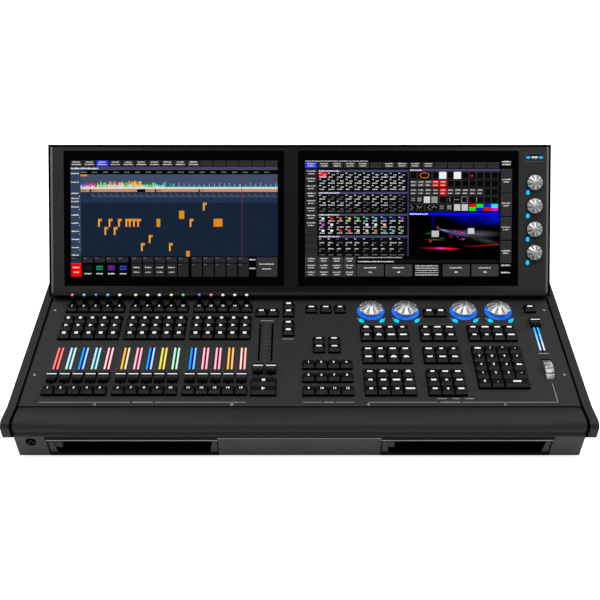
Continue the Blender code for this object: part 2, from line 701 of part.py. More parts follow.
def make_encoders():
    """Four large knobs on the panel and four small ones beside the right screen."""
    for index, x in enumerate(ENCODER_X):
        make_knob(f"encoder_{index + 1}", PANEL_FRAME, (x, ENCODER_U, 0.0), ENCODER_RADIUS,
                  ENCODER_HEIGHT, ENCODER_CLEARANCE, 0.012)
    for index in range(SIDE_ENCODER_COUNT):
        s = SIDE_ENCODER_S + index * SIDE_ENCODER_PITCH
        make_knob(f"side_encoder_{index + 1}", DISPLAY_FRAME, (SIDE_ENCODER_X, FACE_Y, BASE_Z + s),
                  SIDE_ENCODER_RADIUS, SIDE_ENCODER_HEIGHT, 0.0008, 0.010, "Y")


def make_wheel():
    """Ridged thumb wheel that stands partly out of the panel."""
    bm = bmesh.new()
    add_rod(bm, (0, 0, 0), WHEEL_RADIUS, WHEEL_WIDTH, "X", 32)
    wheel = finish_object("thumb_wheel", bm, KNOB_METAL, PANEL_FRAME)
    wheel.location = (RIGHT_COLUMN_X, WHEEL_U, -WHEEL_SINK)


# ---------------------------------------------------------------- display

def display_box(bm, x_low, x_high, s_low, s_high, t_low, t_high):
    """Box in the display: across, up its face from the bottom edge, and back from its face."""
    return add_box(bm, (x_low, FACE_Y + t_low, BASE_Z + s_low),
                   (x_high, FACE_Y + t_high, BASE_Z + s_high))


def bevel_edges(bm, offset, keep):
    """Chamfer the edges that a test on both ends keeps."""
    edges = [edge for edge in bm.edges if all(keep(vert.co) for vert in edge.verts)]
    bmesh.ops.bevel(bm, geom=edges, offset=offset, segments=1, affect="EDGES", profile=0.5)


def make_display_bezel():
    """Front frame of the display, with windows for two screens and holes for controls."""
    half = DISPLAY_WIDTH / 2
    bm = bmesh.new()
    display_box(bm, -half, half, 0.0, DISPLAY_HEIGHT, 0.0, BEZEL_THICKNESS)
    bevel_edges(bm, BEZEL_CHAMFER, lambda co: co.y < FACE_Y + 0.001)
    bezel = finish_object("display_bezel", bm, CASE_PAINT, DISPLAY_FRAME)
    cuts = bmesh.new()
    for x in SCREEN_X:
        half_screen = SCREEN_WIDTH / 2 + GAP
        display_box(cuts, x - half_screen, x + half_screen, SCREEN_BOTTOM - GAP,
                    SCREEN_BOTTOM + SCREEN_HEIGHT + GAP, -0.01, 0.02)
    for index in range(SIDE_ENCODER_COUNT):
        s = SIDE_ENCODER_S + index * SIDE_ENCODER_PITCH
        add_rod(cuts, (SIDE_ENCODER_X, FACE_Y, BASE_Z + s), SHAFT_HOLE_RADIUS, 0.04, "Y", 12)
    display_box(cuts, USB_X - USB_WIDTH / 2 - GAP, USB_X + USB_WIDTH / 2 + GAP,
                USB_S - USB_HEIGHT / 2 - GAP, USB_S + USB_HEIGHT / 2 + GAP, -0.01, 0.02)
    boolean(bezel, cutter("bezel_openings", cuts, DISPLAY_FRAME), "DIFFERENCE")


def make_screens():
    """The two display modules, each a glass-fronted slab."""
    for name, x in zip(("left_screen", "right_screen"), SCREEN_X):
        bm = bmesh.new()
        display_box(bm, x - SCREEN_WIDTH / 2, x + SCREEN_WIDTH / 2, SCREEN_BOTTOM,
                    SCREEN_BOTTOM + SCREEN_HEIGHT, SCREEN_INSET, SCREEN_INSET + SCREEN_THICKNESS)
        finish_object(name, bm, SCREEN_GLASS, DISPLAY_FRAME)


def make_display_back():
    """Back shell of the display with its two hinge lugs and pins."""
    half = DISPLAY_WIDTH / 2
    front = BEZEL_THICKNESS + GAP
    bm = bmesh.new()
    display_box(bm, -half, half, 0.0, DISPLAY_HEIGHT, front, DISPLAY_THICKNESS)
    bevel_edges(bm, 0.007, lambda co: co.y > BACK_Y - 0.001)
    shell = finish_object("display_back_cover", bm, CASE_PAINT, DISPLAY_FRAME)
    hollow = bmesh.new()
    wall = 0.003
    display_box(hollow, -half + wall, half - wall, wall, DISPLAY_HEIGHT - wall,
                front - 0.005, DISPLAY_THICKNESS - wall)
    bevel_edges(hollow, 0.006, lambda co: co.y > BACK_Y - wall - 0.001)
    boolean(shell, cutter("display_hollow", hollow, DISPLAY_FRAME), "DIFFERENCE")
    lugs = bmesh.new()
    pins = bmesh.new()
    lug_width = 0.010
    for side in (-1, 1):
        inner_face = side * (HINGE_ARM_X - HINGE_ARM_WIDTH / 2 - GAP)
        middle = inner_face - side * lug_width / 2
        x_low, x_high = sorted((inner_face, inner_face - side * lug_width))
        add_box(lugs, (x_low, BACK_Y - 0.0015, -HINGE_RADIUS * 2.2),
                (x_high, 0.0, HINGE_RADIUS * 0.9))
        add_rod(pins, (middle, 0.0, 0.0), HINGE_RADIUS, lug_width, "X", 16)
        add_rod(pins, (inner_face + side * 0.004, 0.0, 0.0), HINGE_PIN_RADIUS, 0.012, "X", 12)
    for name, extra in (("display_lugs", lugs), ("display_pins", pins)):
        boolean(shell, cutter(name, extra, DISPLAY_FRAME), "UNION")


def make_usb_port():
    """Metal socket with an open mouth in the display's right margin."""
    bm = bmesh.new()
    display_box(bm, USB_X - USB_WIDTH / 2, USB_X + USB_WIDTH / 2, USB_S - USB_HEIGHT / 2,
                USB_S + USB_HEIGHT / 2, SCREEN_INSET, SCREEN_INSET + USB_DEPTH)
    port = finish_object("usb_port", bm, SHEET_STEEL, DISPLAY_FRAME)
    hollow = bmesh.new()
    display_box(hollow, USB_X - USB_WIDTH / 2 + USB_WALL, USB_X + USB_WIDTH / 2 - USB_WALL,
                USB_S - USB_HEIGHT / 2 + USB_WALL, USB_S + USB_HEIGHT / 2 - USB_WALL,
                -0.01, USB_DEPTH - USB_WALL)
    boolean(port, cutter("usb_hollow", hollow, DISPLAY_FRAME), "DIFFERENCE")
    tongue = bmesh.new()
    display_box(tongue, USB_X - 0.0055, USB_X + 0.0055, USB_S + 0.0004, USB_S + 0.0022,
                0.003, USB_DEPTH)
    boolean(port, cutter("usb_tongue", tongue, DISPLAY_FRAME), "UNION")


def make_hinge_brackets():
    """Two uprights in the well that hold the display's pins."""
    for name, side in (("hinge_bracket_left", -1), ("hinge_bracket_right", 1)):
        x_low, x_high = sorted((side * (HINGE_ARM_X - HINGE_ARM_WIDTH / 2),
                                side * (HINGE_ARM_X + HINGE_ARM_WIDTH / 2)))
        points = arc(HINGE, HINGE_RADIUS, 0, 180, 8)
        floor = WELL_FLOOR_Z + GAP
        points += [(HINGE[0] - HINGE_RADIUS, floor + 0.006), (HINGE[0] - 0.014, floor + 0.004),
                   (HINGE[0] - 0.014, floor), (HINGE[0] + 0.020, floor),
                   (HINGE[0] + 0.020, floor + 0.004), (HINGE[0] + 0.010, floor + 0.010)]
        bracket = outline_object(name, points, x_low, x_high, SHEET_STEEL)
        hole = bmesh.new()
        add_rod(hole, (side * (HINGE_ARM_X - 0.002), depth(HINGE[0]), HINGE[1]),
                HINGE_PIN_RADIUS + GAP, HINGE_ARM_WIDTH + 0.010, "X", 12)
        boolean(bracket, cutter(name + "_hole", hole), "DIFFERENCE")


# ---------------------------------------------------------------- build

make_base_pan()
make_front_bay("front_bay_left", -1)
make_front_bay("front_bay_right", 1)
make_feet()
make_armrest()
make_cheek("left_cheek", -1)
make_cheek("right_cheek", 1)
make_rear_cover()
make_rear_panel()
make_dmx_connectors()
make_power_inlet()
make_electronics()
make_control_panel()
make_fader_board()
make_faders()
for bank_name, bank_blocks in KEY_BANKS.items():
    make_key_bank(bank_name, bank_blocks)
make_go_keys()
make_encoders()
make_wheel()
make_display_bezel()
make_screens()
make_display_back()
make_usb_port()
make_hinge_brackets()
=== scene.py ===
"""Looks of the lighting control desk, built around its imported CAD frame.

Metres, in the desk's own axes: X to the operator's right, Y away from the operator, Z up.
Two sets of local axes carry the sloping parts. PANEL has X across, Y up the slope of the control
panel ("u") and Z out of it ("h"). DISPLAY has X across, Y back from the display's face ("t") and
Z up the face ("s"). Lengths in tables named MM are millimetres.
"""
import math
import random

import bmesh
import bpy
from mathutils import Matrix, Vector


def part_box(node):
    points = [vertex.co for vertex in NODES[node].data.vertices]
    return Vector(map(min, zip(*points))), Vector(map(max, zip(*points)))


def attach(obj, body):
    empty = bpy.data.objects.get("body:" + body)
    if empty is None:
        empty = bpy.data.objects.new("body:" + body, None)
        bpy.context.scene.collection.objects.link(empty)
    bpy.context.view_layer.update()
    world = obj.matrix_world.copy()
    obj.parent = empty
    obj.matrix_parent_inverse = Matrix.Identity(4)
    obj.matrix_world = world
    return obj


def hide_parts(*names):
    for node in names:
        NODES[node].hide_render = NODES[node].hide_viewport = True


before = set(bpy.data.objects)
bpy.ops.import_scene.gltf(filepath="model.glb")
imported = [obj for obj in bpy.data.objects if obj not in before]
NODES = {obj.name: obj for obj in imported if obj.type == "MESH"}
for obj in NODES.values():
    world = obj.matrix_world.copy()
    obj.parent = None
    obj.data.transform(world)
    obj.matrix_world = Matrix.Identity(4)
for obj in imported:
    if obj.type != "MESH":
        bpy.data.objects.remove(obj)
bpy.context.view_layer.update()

MM = 0.001

# ---------------------------------------------------------------- local axes from the frame

PANEL_SLOPE = Matrix.Rotation(math.radians(12.0), 4, "X")
DISPLAY_LEAN = Matrix.Rotation(math.radians(-23.0), 4, "X")
PANEL_FRONT_EDGE = 0.0009     # the plate starts this far up the slope


def corners_in(node, matrix):
    """Lowest and highest corner of a CAD node in some local axes."""
    back = matrix.inverted()
    points = [back @ vert.co for vert in NODES[node].data.vertices]
    low = Vector([min(point[axis] for point in points) for axis in range(3)])
    high = Vector([max(point[axis] for point in points) for axis in range(3)])
    return low, high


def middle_of(node, matrix):
    """Middle of a CAD node across and along some local axes, and half its width."""
    low, high = corners_in(node, matrix)
    return (low.x + high.x) / 2, (low.y + high.y) / 2, (high.x - low.x) / 2


plate_low, plate_high = corners_in("control_panel", PANEL_SLOPE)
PANEL = PANEL_SLOPE @ Matrix.Translation((0.0, plate_low.y - PANEL_FRONT_EDGE, plate_high.z))
bezel_low = corners_in("display_bezel", DISPLAY_LEAN)[0]
DISPLAY = DISPLAY_LEAN @ Matrix.Translation((0.0, bezel_low.y, bezel_low.z))
PANEL_ORIGIN = PANEL @ Vector((0.0, 0.0, 0.0))

# ---------------------------------------------------------------- camera and light

CAMERA_PLACE = Vector((0.0007, -1.4891, 0.8426))
CAMERA_PITCH = math.radians(25.0)
CAMERA_LENS = 59.88
WORLD_SEEN = 1.05             # strength of the white surroundings as the camera sees them
WORLD_LIGHT = 0.30            # and as light

camera_data = bpy.data.cameras.new("camera")
camera_data.lens = CAMERA_LENS
camera = bpy.data.objects.new("camera", camera_data)
camera.location = CAMERA_PLACE
camera.rotation_euler = (math.radians(90.0) - CAMERA_PITCH, 0.0, 0.0)
bpy.context.scene.collection.objects.link(camera)
bpy.context.scene.camera = camera
bpy.context.scene.view_settings.view_transform = "Standard"


def add(tree, kind, inputs=None, **settings):
    """A new shader node. inputs gives numbers, or sockets to link, by the inputs' names or places."""
    made = tree.nodes.new("ShaderNode" + kind)
    for name, value in settings.items():
        setattr(made, name, value)
    for place, value in (inputs or {}).items():
        if isinstance(value, bpy.types.NodeSocket):
            tree.links.new(value, made.inputs[place])
        else:
            made.inputs[place].default_value = value
    return made


def add_softbox(name, place, aim, width, length, power):
    """A soft studio light that points at a place."""
    data = bpy.data.lights.new(name, "AREA")
    data.shape = "RECTANGLE"
    data.size = width
    data.size_y = length
    data.energy = power
    lamp = bpy.data.objects.new(name, data)
    lamp.location = place
    lamp.rotation_euler = (Vector(aim) - Vector(place)).to_track_quat("-Z", "Y").to_euler()
    bpy.context.scene.collection.objects.link(lamp)


def light_studio():
    """White surroundings that light the desk only weakly, and three softboxes."""
    world = bpy.data.worlds.new("studio")
    bpy.context.scene.world = world
    world.use_nodes = True
    tree = world.node_tree
    tree.nodes.clear()
    seen, lighting = [add(tree, "Background", {"Color": (1.0, 1.0, 1.0, 1.0), "Strength": strength})
                      for strength in (WORLD_SEEN, WORLD_LIGHT)]
    path = add(tree, "LightPath")
    mix = add(tree, "MixShader", {"Fac": path.outputs["Is Camera Ray"], 1: lighting.outputs[0],
                                  2: seen.outputs[0]})
    add(tree, "OutputWorld", {"Surface": mix.outputs["Shader"]})
    add_softbox("overhead", (0.0, -0.55, 1.9), (0.0, 0.0, 0.05), 2.6, 1.4, 42.0)
    for name, x in (("side_left", -1.5), ("side_right", 1.5)):
        add_softbox(name, (x, 0.75, 1.15), (0.0, 0.0, 0.1), 0.7, 0.7, 9.0)


light_studio()

# ---------------------------------------------------------------- materials


def linear(value):
    """A 0-255 sRGB value as a linear share."""
    share = value / 255
    return share / 12.92 if share <= 0.04045 else ((share + 0.055) / 1.055) ** 2.4


CLOUDS_PER_METRE = 22.0
CLOUD_SHARE = 0.5             # of clouds in a finish's colour; the rest is grain
BUMP_STRENGTH = 0.5


def new_material(name):
    """An empty node material with its node tree, and its surface input."""
    made = bpy.data.materials.new(name)
    made.use_nodes = True
    made.node_tree.nodes.clear()
    return made, made.node_tree, add(made.node_tree, "OutputMaterial").inputs["Surface"]


def ramp_of(tree, value, stops):
    """A colour ramp driven by a value. stops are (position, linear colour)."""
    ramp = add(tree, "ValToRGB", {"Fac": value})
    elements = ramp.color_ramp.elements
    while len(elements) < len(stops):
        elements.new(0.5)
    for element, (position, color) in zip(elements, stops):
        element.position = position
        element.color = (*color, 1.0)
    return ramp.outputs["Color"]


def noise(tree, coordinates, scale, detail, stretch=(1.0, 1.0, 1.0)):
    """A noise texture in the object's own space."""
    mapping = add(tree, "Mapping", {"Scale": stretch, "Vector": coordinates})
    return add(tree, "TexNoise", {"Scale": scale, "Detail": detail,
                                  "Vector": mapping.outputs["Vector"]}).outputs["Fac"]


def surface(name, color, roughness, grain, depth, metallic=0.0, specular=0.5, spread=0.12,
            rough_spread=0.08, stretch=(1.0, 1.0, 1.0)):
    """A finish with fine grain in its relief and gentle clouds in its colour and gloss.

    grain is the grain's frequency per metre, depth its height in metres, and spread the share by
    which the colour varies.
    """
    made, tree, output = new_material(name)
    place = add(tree, "TexCoord").outputs["Object"]
    clouds = noise(tree, place, CLOUDS_PER_METRE, 3.0, stretch)
    speckle = noise(tree, place, grain, 2.0, stretch)
    tone = add(tree, "Mix", {"Factor": CLOUD_SHARE, 2: clouds, 3: speckle})
    paint = ramp_of(tree, tone.outputs[0], [(0.32, [channel * (1 - spread) for channel in color]),
                                            (0.68, [channel * (1 + spread) for channel in color])])
    gloss = add(tree, "MapRange", {"To Min": max(0.02, roughness - rough_spread),
                                   "To Max": min(1.0, roughness + rough_spread), "Value": clouds})
    bump = add(tree, "Bump", {"Distance": depth, "Strength": BUMP_STRENGTH, "Height": speckle})
    shader = add(tree, "BsdfPrincipled", {
        "Metallic": metallic, "Specular IOR Level": specular, "Base Color": paint,
        "Roughness": gloss.outputs["Result"], "Normal": bump.outputs["Normal"]})
    tree.links.new(shader.outputs["BSDF"], output)
    return made


GLOWS = {}


def glow(red, green, blue, strength=1.0):
    """A lit colour, given in 0-255 sRGB. Each colour is made once."""
    key = (red, green, blue, strength)
    if key not in GLOWS:
        made, tree, output = new_material(f"glow_{len(GLOWS):02d}")
        shader = add(tree, "Emission", {
            "Color": (linear(red), linear(green), linear(blue), 1.0), "Strength": strength})
        tree.links.new(shader.outputs["Emission"], output)
        GLOWS[key] = made
    return GLOWS[key]


PANEL_PAINT = surface("panel_paint", (0.0185, 0.0185, 0.0190), 0.62, 1900.0, 0.00006, specular=0.16)
CASE_PAINT = surface("case_paint", (0.0100, 0.0100, 0.0104), 0.50, 1400.0, 0.00006, specular=0.22)
FRAME_PAINT = surface("frame_paint", (0.0190, 0.0190, 0.0195), 0.55, 1400.0, 0.00006, specular=0.12)
PAN_PAINT = surface("pan_paint", (0.050, 0.050, 0.051), 0.60, 1400.0, 0.00008, specular=0.25)
RUBBER = surface("armrest_rubber", (0.0150, 0.0150, 0.0155), 0.66, 2600.0, 0.00004, specular=0.20)
STEEL = surface("sheet_steel", (0.30, 0.30, 0.31), 0.42, 900.0, 0.00002, 1.0,
                stretch=(0.05, 1.0, 1.0))
# Near-black: the bays, washers and socket faces, and the painted shadow band on the pan's front.
BAY_BLACK = surface("bay_black", (0.006, 0.006, 0.006), 0.7, 1200.0, 0.00005, specular=0.1)
KEY_PLASTIC = surface("key_plastic", (0.0014, 0.0014, 0.0016), 0.42, 3200.0, 0.00001,
                      specular=0.11)
CAP_PLASTIC = surface("cap_plastic", (0.0028, 0.0028, 0.0030), 0.42, 3000.0, 0.00001,
                      specular=0.16)
KNOB_METAL = surface("knob_metal", (0.43, 0.43, 0.435), 0.40, 1500.0, 0.000002, 0.9, spread=0.05,
                     rough_spread=0.05)
GLASS = surface("screen_glass", (0.0005, 0.0005, 0.0006), 0.16, 60.0, 0.000001, specular=0.03,
                rough_spread=0.03)
FOOT_RUBBER = surface("foot_rubber", (0.010, 0.010, 0.010), 0.9, 1800.0, 0.0001, specular=0.15)
SOCKET_BLACK = surface("socket_black", (0.012, 0.012, 0.013), 0.5, 1600.0, 0.00004, specular=0.3)
BOARD_GREEN = surface("board_green", (0.03, 0.16, 0.07), 0.5, 700.0, 0.00003)
BOARD_BLACK = surface("board_black", (0.003, 0.003, 0.003), 0.7, 700.0, 0.00003, specular=0.1)
SCREW_STEEL = surface("screw_steel", (0.32, 0.32, 0.33), 0.35, 2600.0, 0.00001, 1.0)
# Light grey: the painted highlight on the display's side rails, and the rim around the display's socket.
EDGE_GREY = surface("edge_grey", (0.115, 0.115, 0.118), 0.38, 1400.0, 0.00002, specular=0.4)
# Near-black with no gloss: painted shade on the key skirts, in the gaps beside the cheeks and on the
# display frame's chamfers; the round socket's ring is really black.
EDGE_BLACK = surface("edge_black", (0.0009, 0.0009, 0.0009), 0.9, 1400.0, 0.00003, specular=0.0)
# White print given a glow of its own: the print is real, the glow is painted light that keeps legends and
# cap lines pure white.
WHITE_PRINT_GLOW = glow(250, 250, 250)
# Light grey for print and marks, and for the painted highlight on the lips over the bays.
GREY_PRINT_AND_HIGHLIGHT = surface("grey_print_and_highlight", (0.36, 0.36, 0.36), 0.6, 2500.0, 0.00001, specular=0.2)
INK_DIM = surface("ink_dim", (0.085, 0.085, 0.088), 0.6, 2500.0, 0.00001, specular=0.2)
INK_BLUE_GREY = surface("ink_blue_grey", (0.060, 0.100, 0.115), 0.6, 2500.0, 0.00001,
                        specular=0.2)

NODE_LOOKS = {
    PANEL_PAINT: ["control_panel"],
    CASE_PAINT: ["left_cheek", "right_cheek", "rear_cover", "rear_panel", "display_back_cover"],
    PAN_PAINT: ["base_pan"],
    RUBBER: ["armrest"],
    BAY_BLACK: ["front_bay_left", "front_bay_right"],
    STEEL: ["power_supply", "hinge_bracket_left", "hinge_bracket_right", "usb_port"],
    GLASS: ["left_screen", "right_screen"],
    SOCKET_BLACK: ["dmx_connector_block", "power_inlet"],
    BOARD_GREEN: ["mainboard"],
    BOARD_BLACK: ["fader_board"],
    FOOT_RUBBER: [name for name in NODES if name.startswith("foot_")],
}


def look_of(node):
    """The finish that a carried-over CAD node gets."""
    for look, names in NODE_LOOKS.items():
        if node in names:
            return look
    return None


for node_name, node_object in NODES.items():
    node_look = look_of(node_name)
    if node_look is not None:
        node_object.data.materials.clear()
        node_object.data.materials.append(node_look)

# ---------------------------------------------------------------- mesh helpers


def shape(name, bm, looks, body, matrix=None, replaces=(), sharp=35.0, outward=False):
    """Turn a bmesh in local axes into a piece that rides on a body.

    outward turns all its faces outwards first.
    """
    if outward:
        bmesh.ops.recalc_face_normals(bm, faces=bm.faces)
    if matrix is not None:
        bmesh.ops.transform(bm, matrix=matrix, verts=bm.verts)
    mesh = bpy.data.meshes.new(name)
    bm.to_mesh(mesh)
    bm.free()
    mesh.shade_smooth()
    mesh.set_sharp_from_angle(angle=math.radians(sharp))
    for look in looks if isinstance(looks, list) else [looks]:
        mesh.materials.append(look)
    made = bpy.data.objects.new(name, mesh)
    bpy.context.scene.collection.objects.link(made)
    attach(made, body)
    if replaces:
        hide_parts(*replaces)
    return made


def loft(bm, rings, material=0, closed=False):
    """Skin rings of equal length, each counterclockwise seen from the last one, and cap both ends."""
    rows = [[bm.verts.new(point) for point in ring] for ring in rings]
    count = len(rows[0])
    pairs = list(zip(rows, rows[1:])) + ([(rows[-1], rows[0])] if closed else [])
    faces = []
    for low, high in pairs:
        for index in range(count):
            after = (index + 1) % count
            faces.append(bm.faces.new((low[index], low[after], high[after], high[index])))
    if not closed:
        faces.append(bm.faces.new(tuple(reversed(rows[0]))))
        faces.append(bm.faces.new(tuple(rows[-1])))
    for face in faces:
        face.material_index = material
    return rows


def box(bm, low, high, material=0):
    """A block between two corners."""
    ring = [(low[0], low[1]), (high[0], low[1]), (high[0], high[1]), (low[0], high[1])]
    loft(bm, [[(x, y, z) for x, y in ring] for z in (low[2], high[2])], material)


def rounded(left, right, front, rear, radius, steps=3):
    """Corner points of a rounded rectangle, counterclockwise."""
    points = []
    radius = min(radius, (right - left) / 2, (rear - front) / 2)
    centres = ((right - radius, rear - radius), (left + radius, rear - radius),
               (left + radius, front + radius), (right - radius, front + radius))
    for quarter, (x, y) in enumerate(centres):
        for step in range(steps + 1):
            angle = math.radians(90 * (quarter + step / steps))
            points.append((x + radius * math.cos(angle), y + radius * math.sin(angle)))
    return points


def circle(x, y, radius, segments):
    """Points around (x, y), counterclockwise from +X."""
    return [(x + radius * math.cos(math.tau * step / segments),
             y + radius * math.sin(math.tau * step / segments)) for step in range(segments)]


def turned(bm, profile, x, y, segments=28, material=0):
    """A solid turned about an axis along Z through (x, y). profile is (radius, height), going up."""
    loft(bm, [[(px, py, height) for px, py in circle(x, y, radius, segments)]
              for radius, height in profile], material)


def turned_ring(bm, section, x, y, segments=48):
    """A ring: a closed (radius, height) section, clockwise, swept about an axis along Z."""
    rings = []
    for step in range(segments):
        angle = 2 * math.pi * step / segments
        rings.append([(x + radius * math.cos(angle), y + radius * math.sin(angle), height)
                      for radius, height in section])
    loft(bm, rings, closed=True)


def across(bm, outline, low_x, high_x, rim=0.0):
    """An outline in (Y, Z), counterclockwise seen from +X, run along X with a small rounded rim."""
    middle_y = sum(point[0] for point in outline) / len(outline)
    middle_z = sum(point[1] for point in outline) / len(outline)
    span = max(math.dist(point, (middle_y, middle_z)) for point in outline)
    stations = [(low_x, 0.0), (high_x, 0.0)]
    if rim:
        stations = [(low_x, rim), (low_x + rim * 0.3, rim * 0.3), (low_x + rim, 0.0),
                    (high_x - rim, 0.0), (high_x - rim * 0.3, rim * 0.3), (high_x, rim)]
    rings = []
    for x, inset in stations:
        scale = 1 - inset / span
        rings.append([(x, middle_y + (y - middle_y) * scale, middle_z + (z - middle_z) * scale)
                      for y, z in outline])
    loft(bm, rings)


def plates(name, body, matrix, slot=None):
    """A drawing of thin plates, each with its own colour, gathered into one piece."""
    return {"name": name, "body": body, "matrix": matrix, "slot": slot, "looks": [],
            "bm": bmesh.new()}


def ink(drawing, look):
    """The material index of a look in a drawing."""
    if look not in drawing["looks"]:
        drawing["looks"].append(look)
    return drawing["looks"].index(look)


def finish_plates(drawing):
    """Turn a drawing into its piece."""
    return shape(drawing["name"], drawing["bm"], drawing["looks"], drawing["body"],
                 drawing["matrix"])


# ---------------------------------------------------------------- numbers and stand-ins for words

DIGITS = {}


def digit_mesh(text, size):
    """The flat outline of a number as a closed mesh, made once for each size."""
    key = (text, size)
    if key not in DIGITS:
        curve = bpy.data.curves.new("number", "FONT")
        curve.body = text
        curve.size = size
        curve.align_x = "CENTER"
        curve.align_y = "CENTER"
        curve.extrude = 0.0001
        curve.offset = size * 0.030
        curve.resolution_u = 2
        drawn = bpy.data.objects.new("number", curve)
        bpy.context.scene.collection.objects.link(drawn)
        bpy.context.view_layer.update()
        graph = bpy.context.evaluated_depsgraph_get()
        mesh = bpy.data.meshes.new_from_object(drawn.evaluated_get(graph))
        bpy.data.objects.remove(drawn, do_unlink=True)
        bm = bmesh.new()
        bm.from_mesh(mesh)
        bmesh.ops.remove_doubles(bm, verts=bm.verts, dist=1e-6)
        for face in bm.faces:
            face.material_index = 0
        bm.to_mesh(mesh)
        bm.free()
        DIGITS[key] = mesh
    return DIGITS[key]


def put_number(bm, text, x, u, height, size):
    """A number lying in the XY plane of the local axes."""
    before = len(bm.verts)
    bm.from_mesh(digit_mesh(text, size))
    bm.verts.ensure_lookup_table()
    bmesh.ops.translate(bm, verts=bm.verts[before:], vec=(x, u, height))


LEGEND_LOW = 0.0063
LEGEND_HIGH = 0.0072
NUMBER_HEIGHT = LEGEND_HIGH - 0.0001


def mark_bar(bm, x, u, width, height=0.0026, seed=0):
    """A stand-in for a word: a row of small blocks with no letter shapes."""
    chance = random.Random(seed)
    left = x - width / 2
    right = x + width / 2
    while left < right - 0.0004:
        step = min(right - left, chance.uniform(0.0014, 0.0026))
        rise = height * chance.choice((0.9, 0.95, 1.0))
        box(bm, (left, u - height / 2, LEGEND_LOW), (left + step, u - height / 2 + rise, LEGEND_HIGH))
        left += step + 0.00010


def mark_polygon(bm, x, u, points):
    """A small flat sign given by its outline."""
    loft(bm, [[(x + px, u + pu, h) for px, pu in points] for h in (LEGEND_LOW, LEGEND_HIGH)])


def mark_dot(bm, x, u, radius=0.0026):
    """A round sign."""
    mark_polygon(bm, x, u, circle(0.0, 0.0, radius, 16))


def mark_square(bm, x, u, half=0.0025):
    """A square sign."""
    rise = half * 0.85
    mark_polygon(bm, x, u, [(-half, -rise), (half, -rise), (half, rise), (-half, rise)])


def mark_arrow(bm, x, u, way=1, size=0.0028):
    """A triangle that points left or right."""
    points = [(-size * 0.8 * way, -size), (size * way, 0.0), (-size * 0.8 * way, size)]
    mark_polygon(bm, x, u, points if way > 0 else points[::-1])


# ---------------------------------------------------------------- keys

KEY_BASE = 0.0186
# How far each ring of a key stands in from its base at the sides, front and rear, and its height.
KEY_RINGS = ((0.0, 0.0, 0.0, -2.0, 0.9), (0.0, 0.0, 0.0, 3.3, 0.9), (0.45, 0.55, 0.4, 3.9, 1.2),
             (2.4, 5.2, 2.2, 6.7, 2.0), (2.9, 5.9, 2.7, 7.0, 2.0), (3.9, 6.9, 3.6, 6.85, 1.8),
             (6.0, 8.0, 5.6, 6.60, 1.2))
LEGEND_SHIFT = 0.0017         # middle of the finger plate, behind the middle of the key


def keycap(bm, x, u, width=KEY_BASE, length=KEY_BASE):
    """One moulded key: a straight skirt, sloping shoulders and a dished finger plate."""
    rings = []
    for side, front, rear, height, radius in KEY_RINGS:
        ring = rounded(x - width / 2 + side * MM, x + width / 2 - side * MM,
                       u - length / 2 + front * MM, u + length / 2 - rear * MM, radius * MM)
        rings.append([(px, pu, height * MM) for px, pu in ring])
    # The skirt takes material slot 1, the near-black edge colour: painted shade on the key's lower sides.
    loft(bm, rings[:3], 1)
    loft(bm, [[(px, pu, h - 0.00001) for px, pu, h in rings[2]]] + rings[3:])


def key_places(node):
    """Middle and width of every key of a CAD bank, in rows from the front, left to right."""
    bm = bmesh.new()
    bm.from_mesh(NODES[node].data)
    bmesh.ops.transform(bm, matrix=PANEL.inverted(), verts=bm.verts)
    bmesh.ops.remove_doubles(bm, verts=bm.verts, dist=0.00001)
    top = max(vert.co.z for vert in bm.verts)
    left = {vert for vert in bm.verts if vert.co.z > top - 0.0001}
    places = []
    while left:
        island = {left.pop()}
        edge = list(island)
        while edge:
            vert = edge.pop()
            for line in vert.link_edges:
                other = line.other_vert(vert)
                if other in left:
                    left.remove(other)
                    island.add(other)
                    edge.append(other)
        xs = [vert.co.x for vert in island]
        us = [vert.co.y for vert in island]
        places.append((round((min(xs) + max(xs)) / 2, 5), round((min(us) + max(us)) / 2, 5),
                       round(max(xs) - min(xs), 4)))
    bm.free()
    rows = {}
    for x, u, width in sorted(places):
        row = next((key for key in rows if abs(key - u) < 0.001), u)
        rows.setdefault(row, []).append((x, u, width))
    return [rows[key] for key in sorted(rows)]


TOP_TO_BASE = 0.0044          # a key's base is this much wider than its top


def make_bank(node, mark):
    """The keys of one CAD bank as moulded caps, and their signs as a second piece.

    mark(bm, row, column, x, u) draws one sign.
    """
    caps = bmesh.new()
    signs = bmesh.new()
    for row, keys in enumerate(key_places(node)):
        for column, (x, u, width) in enumerate(keys):
            keycap(caps, x, u, width + TOP_TO_BASE)
            mark(signs, row, column, x, u + LEGEND_SHIFT)
    mat_low, mat_high = corners_in(node, PANEL)
    box(caps, mat_low, (mat_high.x, mat_high.y, -0.0060))
    shape(node + "_caps", caps, [KEY_PLASTIC, EDGE_BLACK], node, PANEL, (node,))
    shape(node + "_legends", signs, WHITE_PRINT_GLOW, node, PANEL)


def mark_playback(bm, row, column, x, u):
    """Squares, triangles and dots over the faders, and numbers in the last row."""
    if row == 0:
        mark_square(bm, x, u, 0.0027)
    elif row == 1:
        mark_arrow(bm, x, u)
    elif row == 2:
        mark_dot(bm, x, u)
    else:
        put_number(bm, str(column + 1), x, u, NUMBER_HEIGHT, 0.0056)


def mark_flash(bm, row, column, x, u):
    """Numbers under the faders."""
    put_number(bm, str(column + 1), x, u, NUMBER_HEIGHT, 0.0058)


def mark_page(bm, row, column, x, u):
    """Double arrows that page back and on."""
    way = 1 if column else -1
    for shift in (-0.0020, 0.0020):
        mark_arrow(bm, x + shift, u, way, 0.0023)


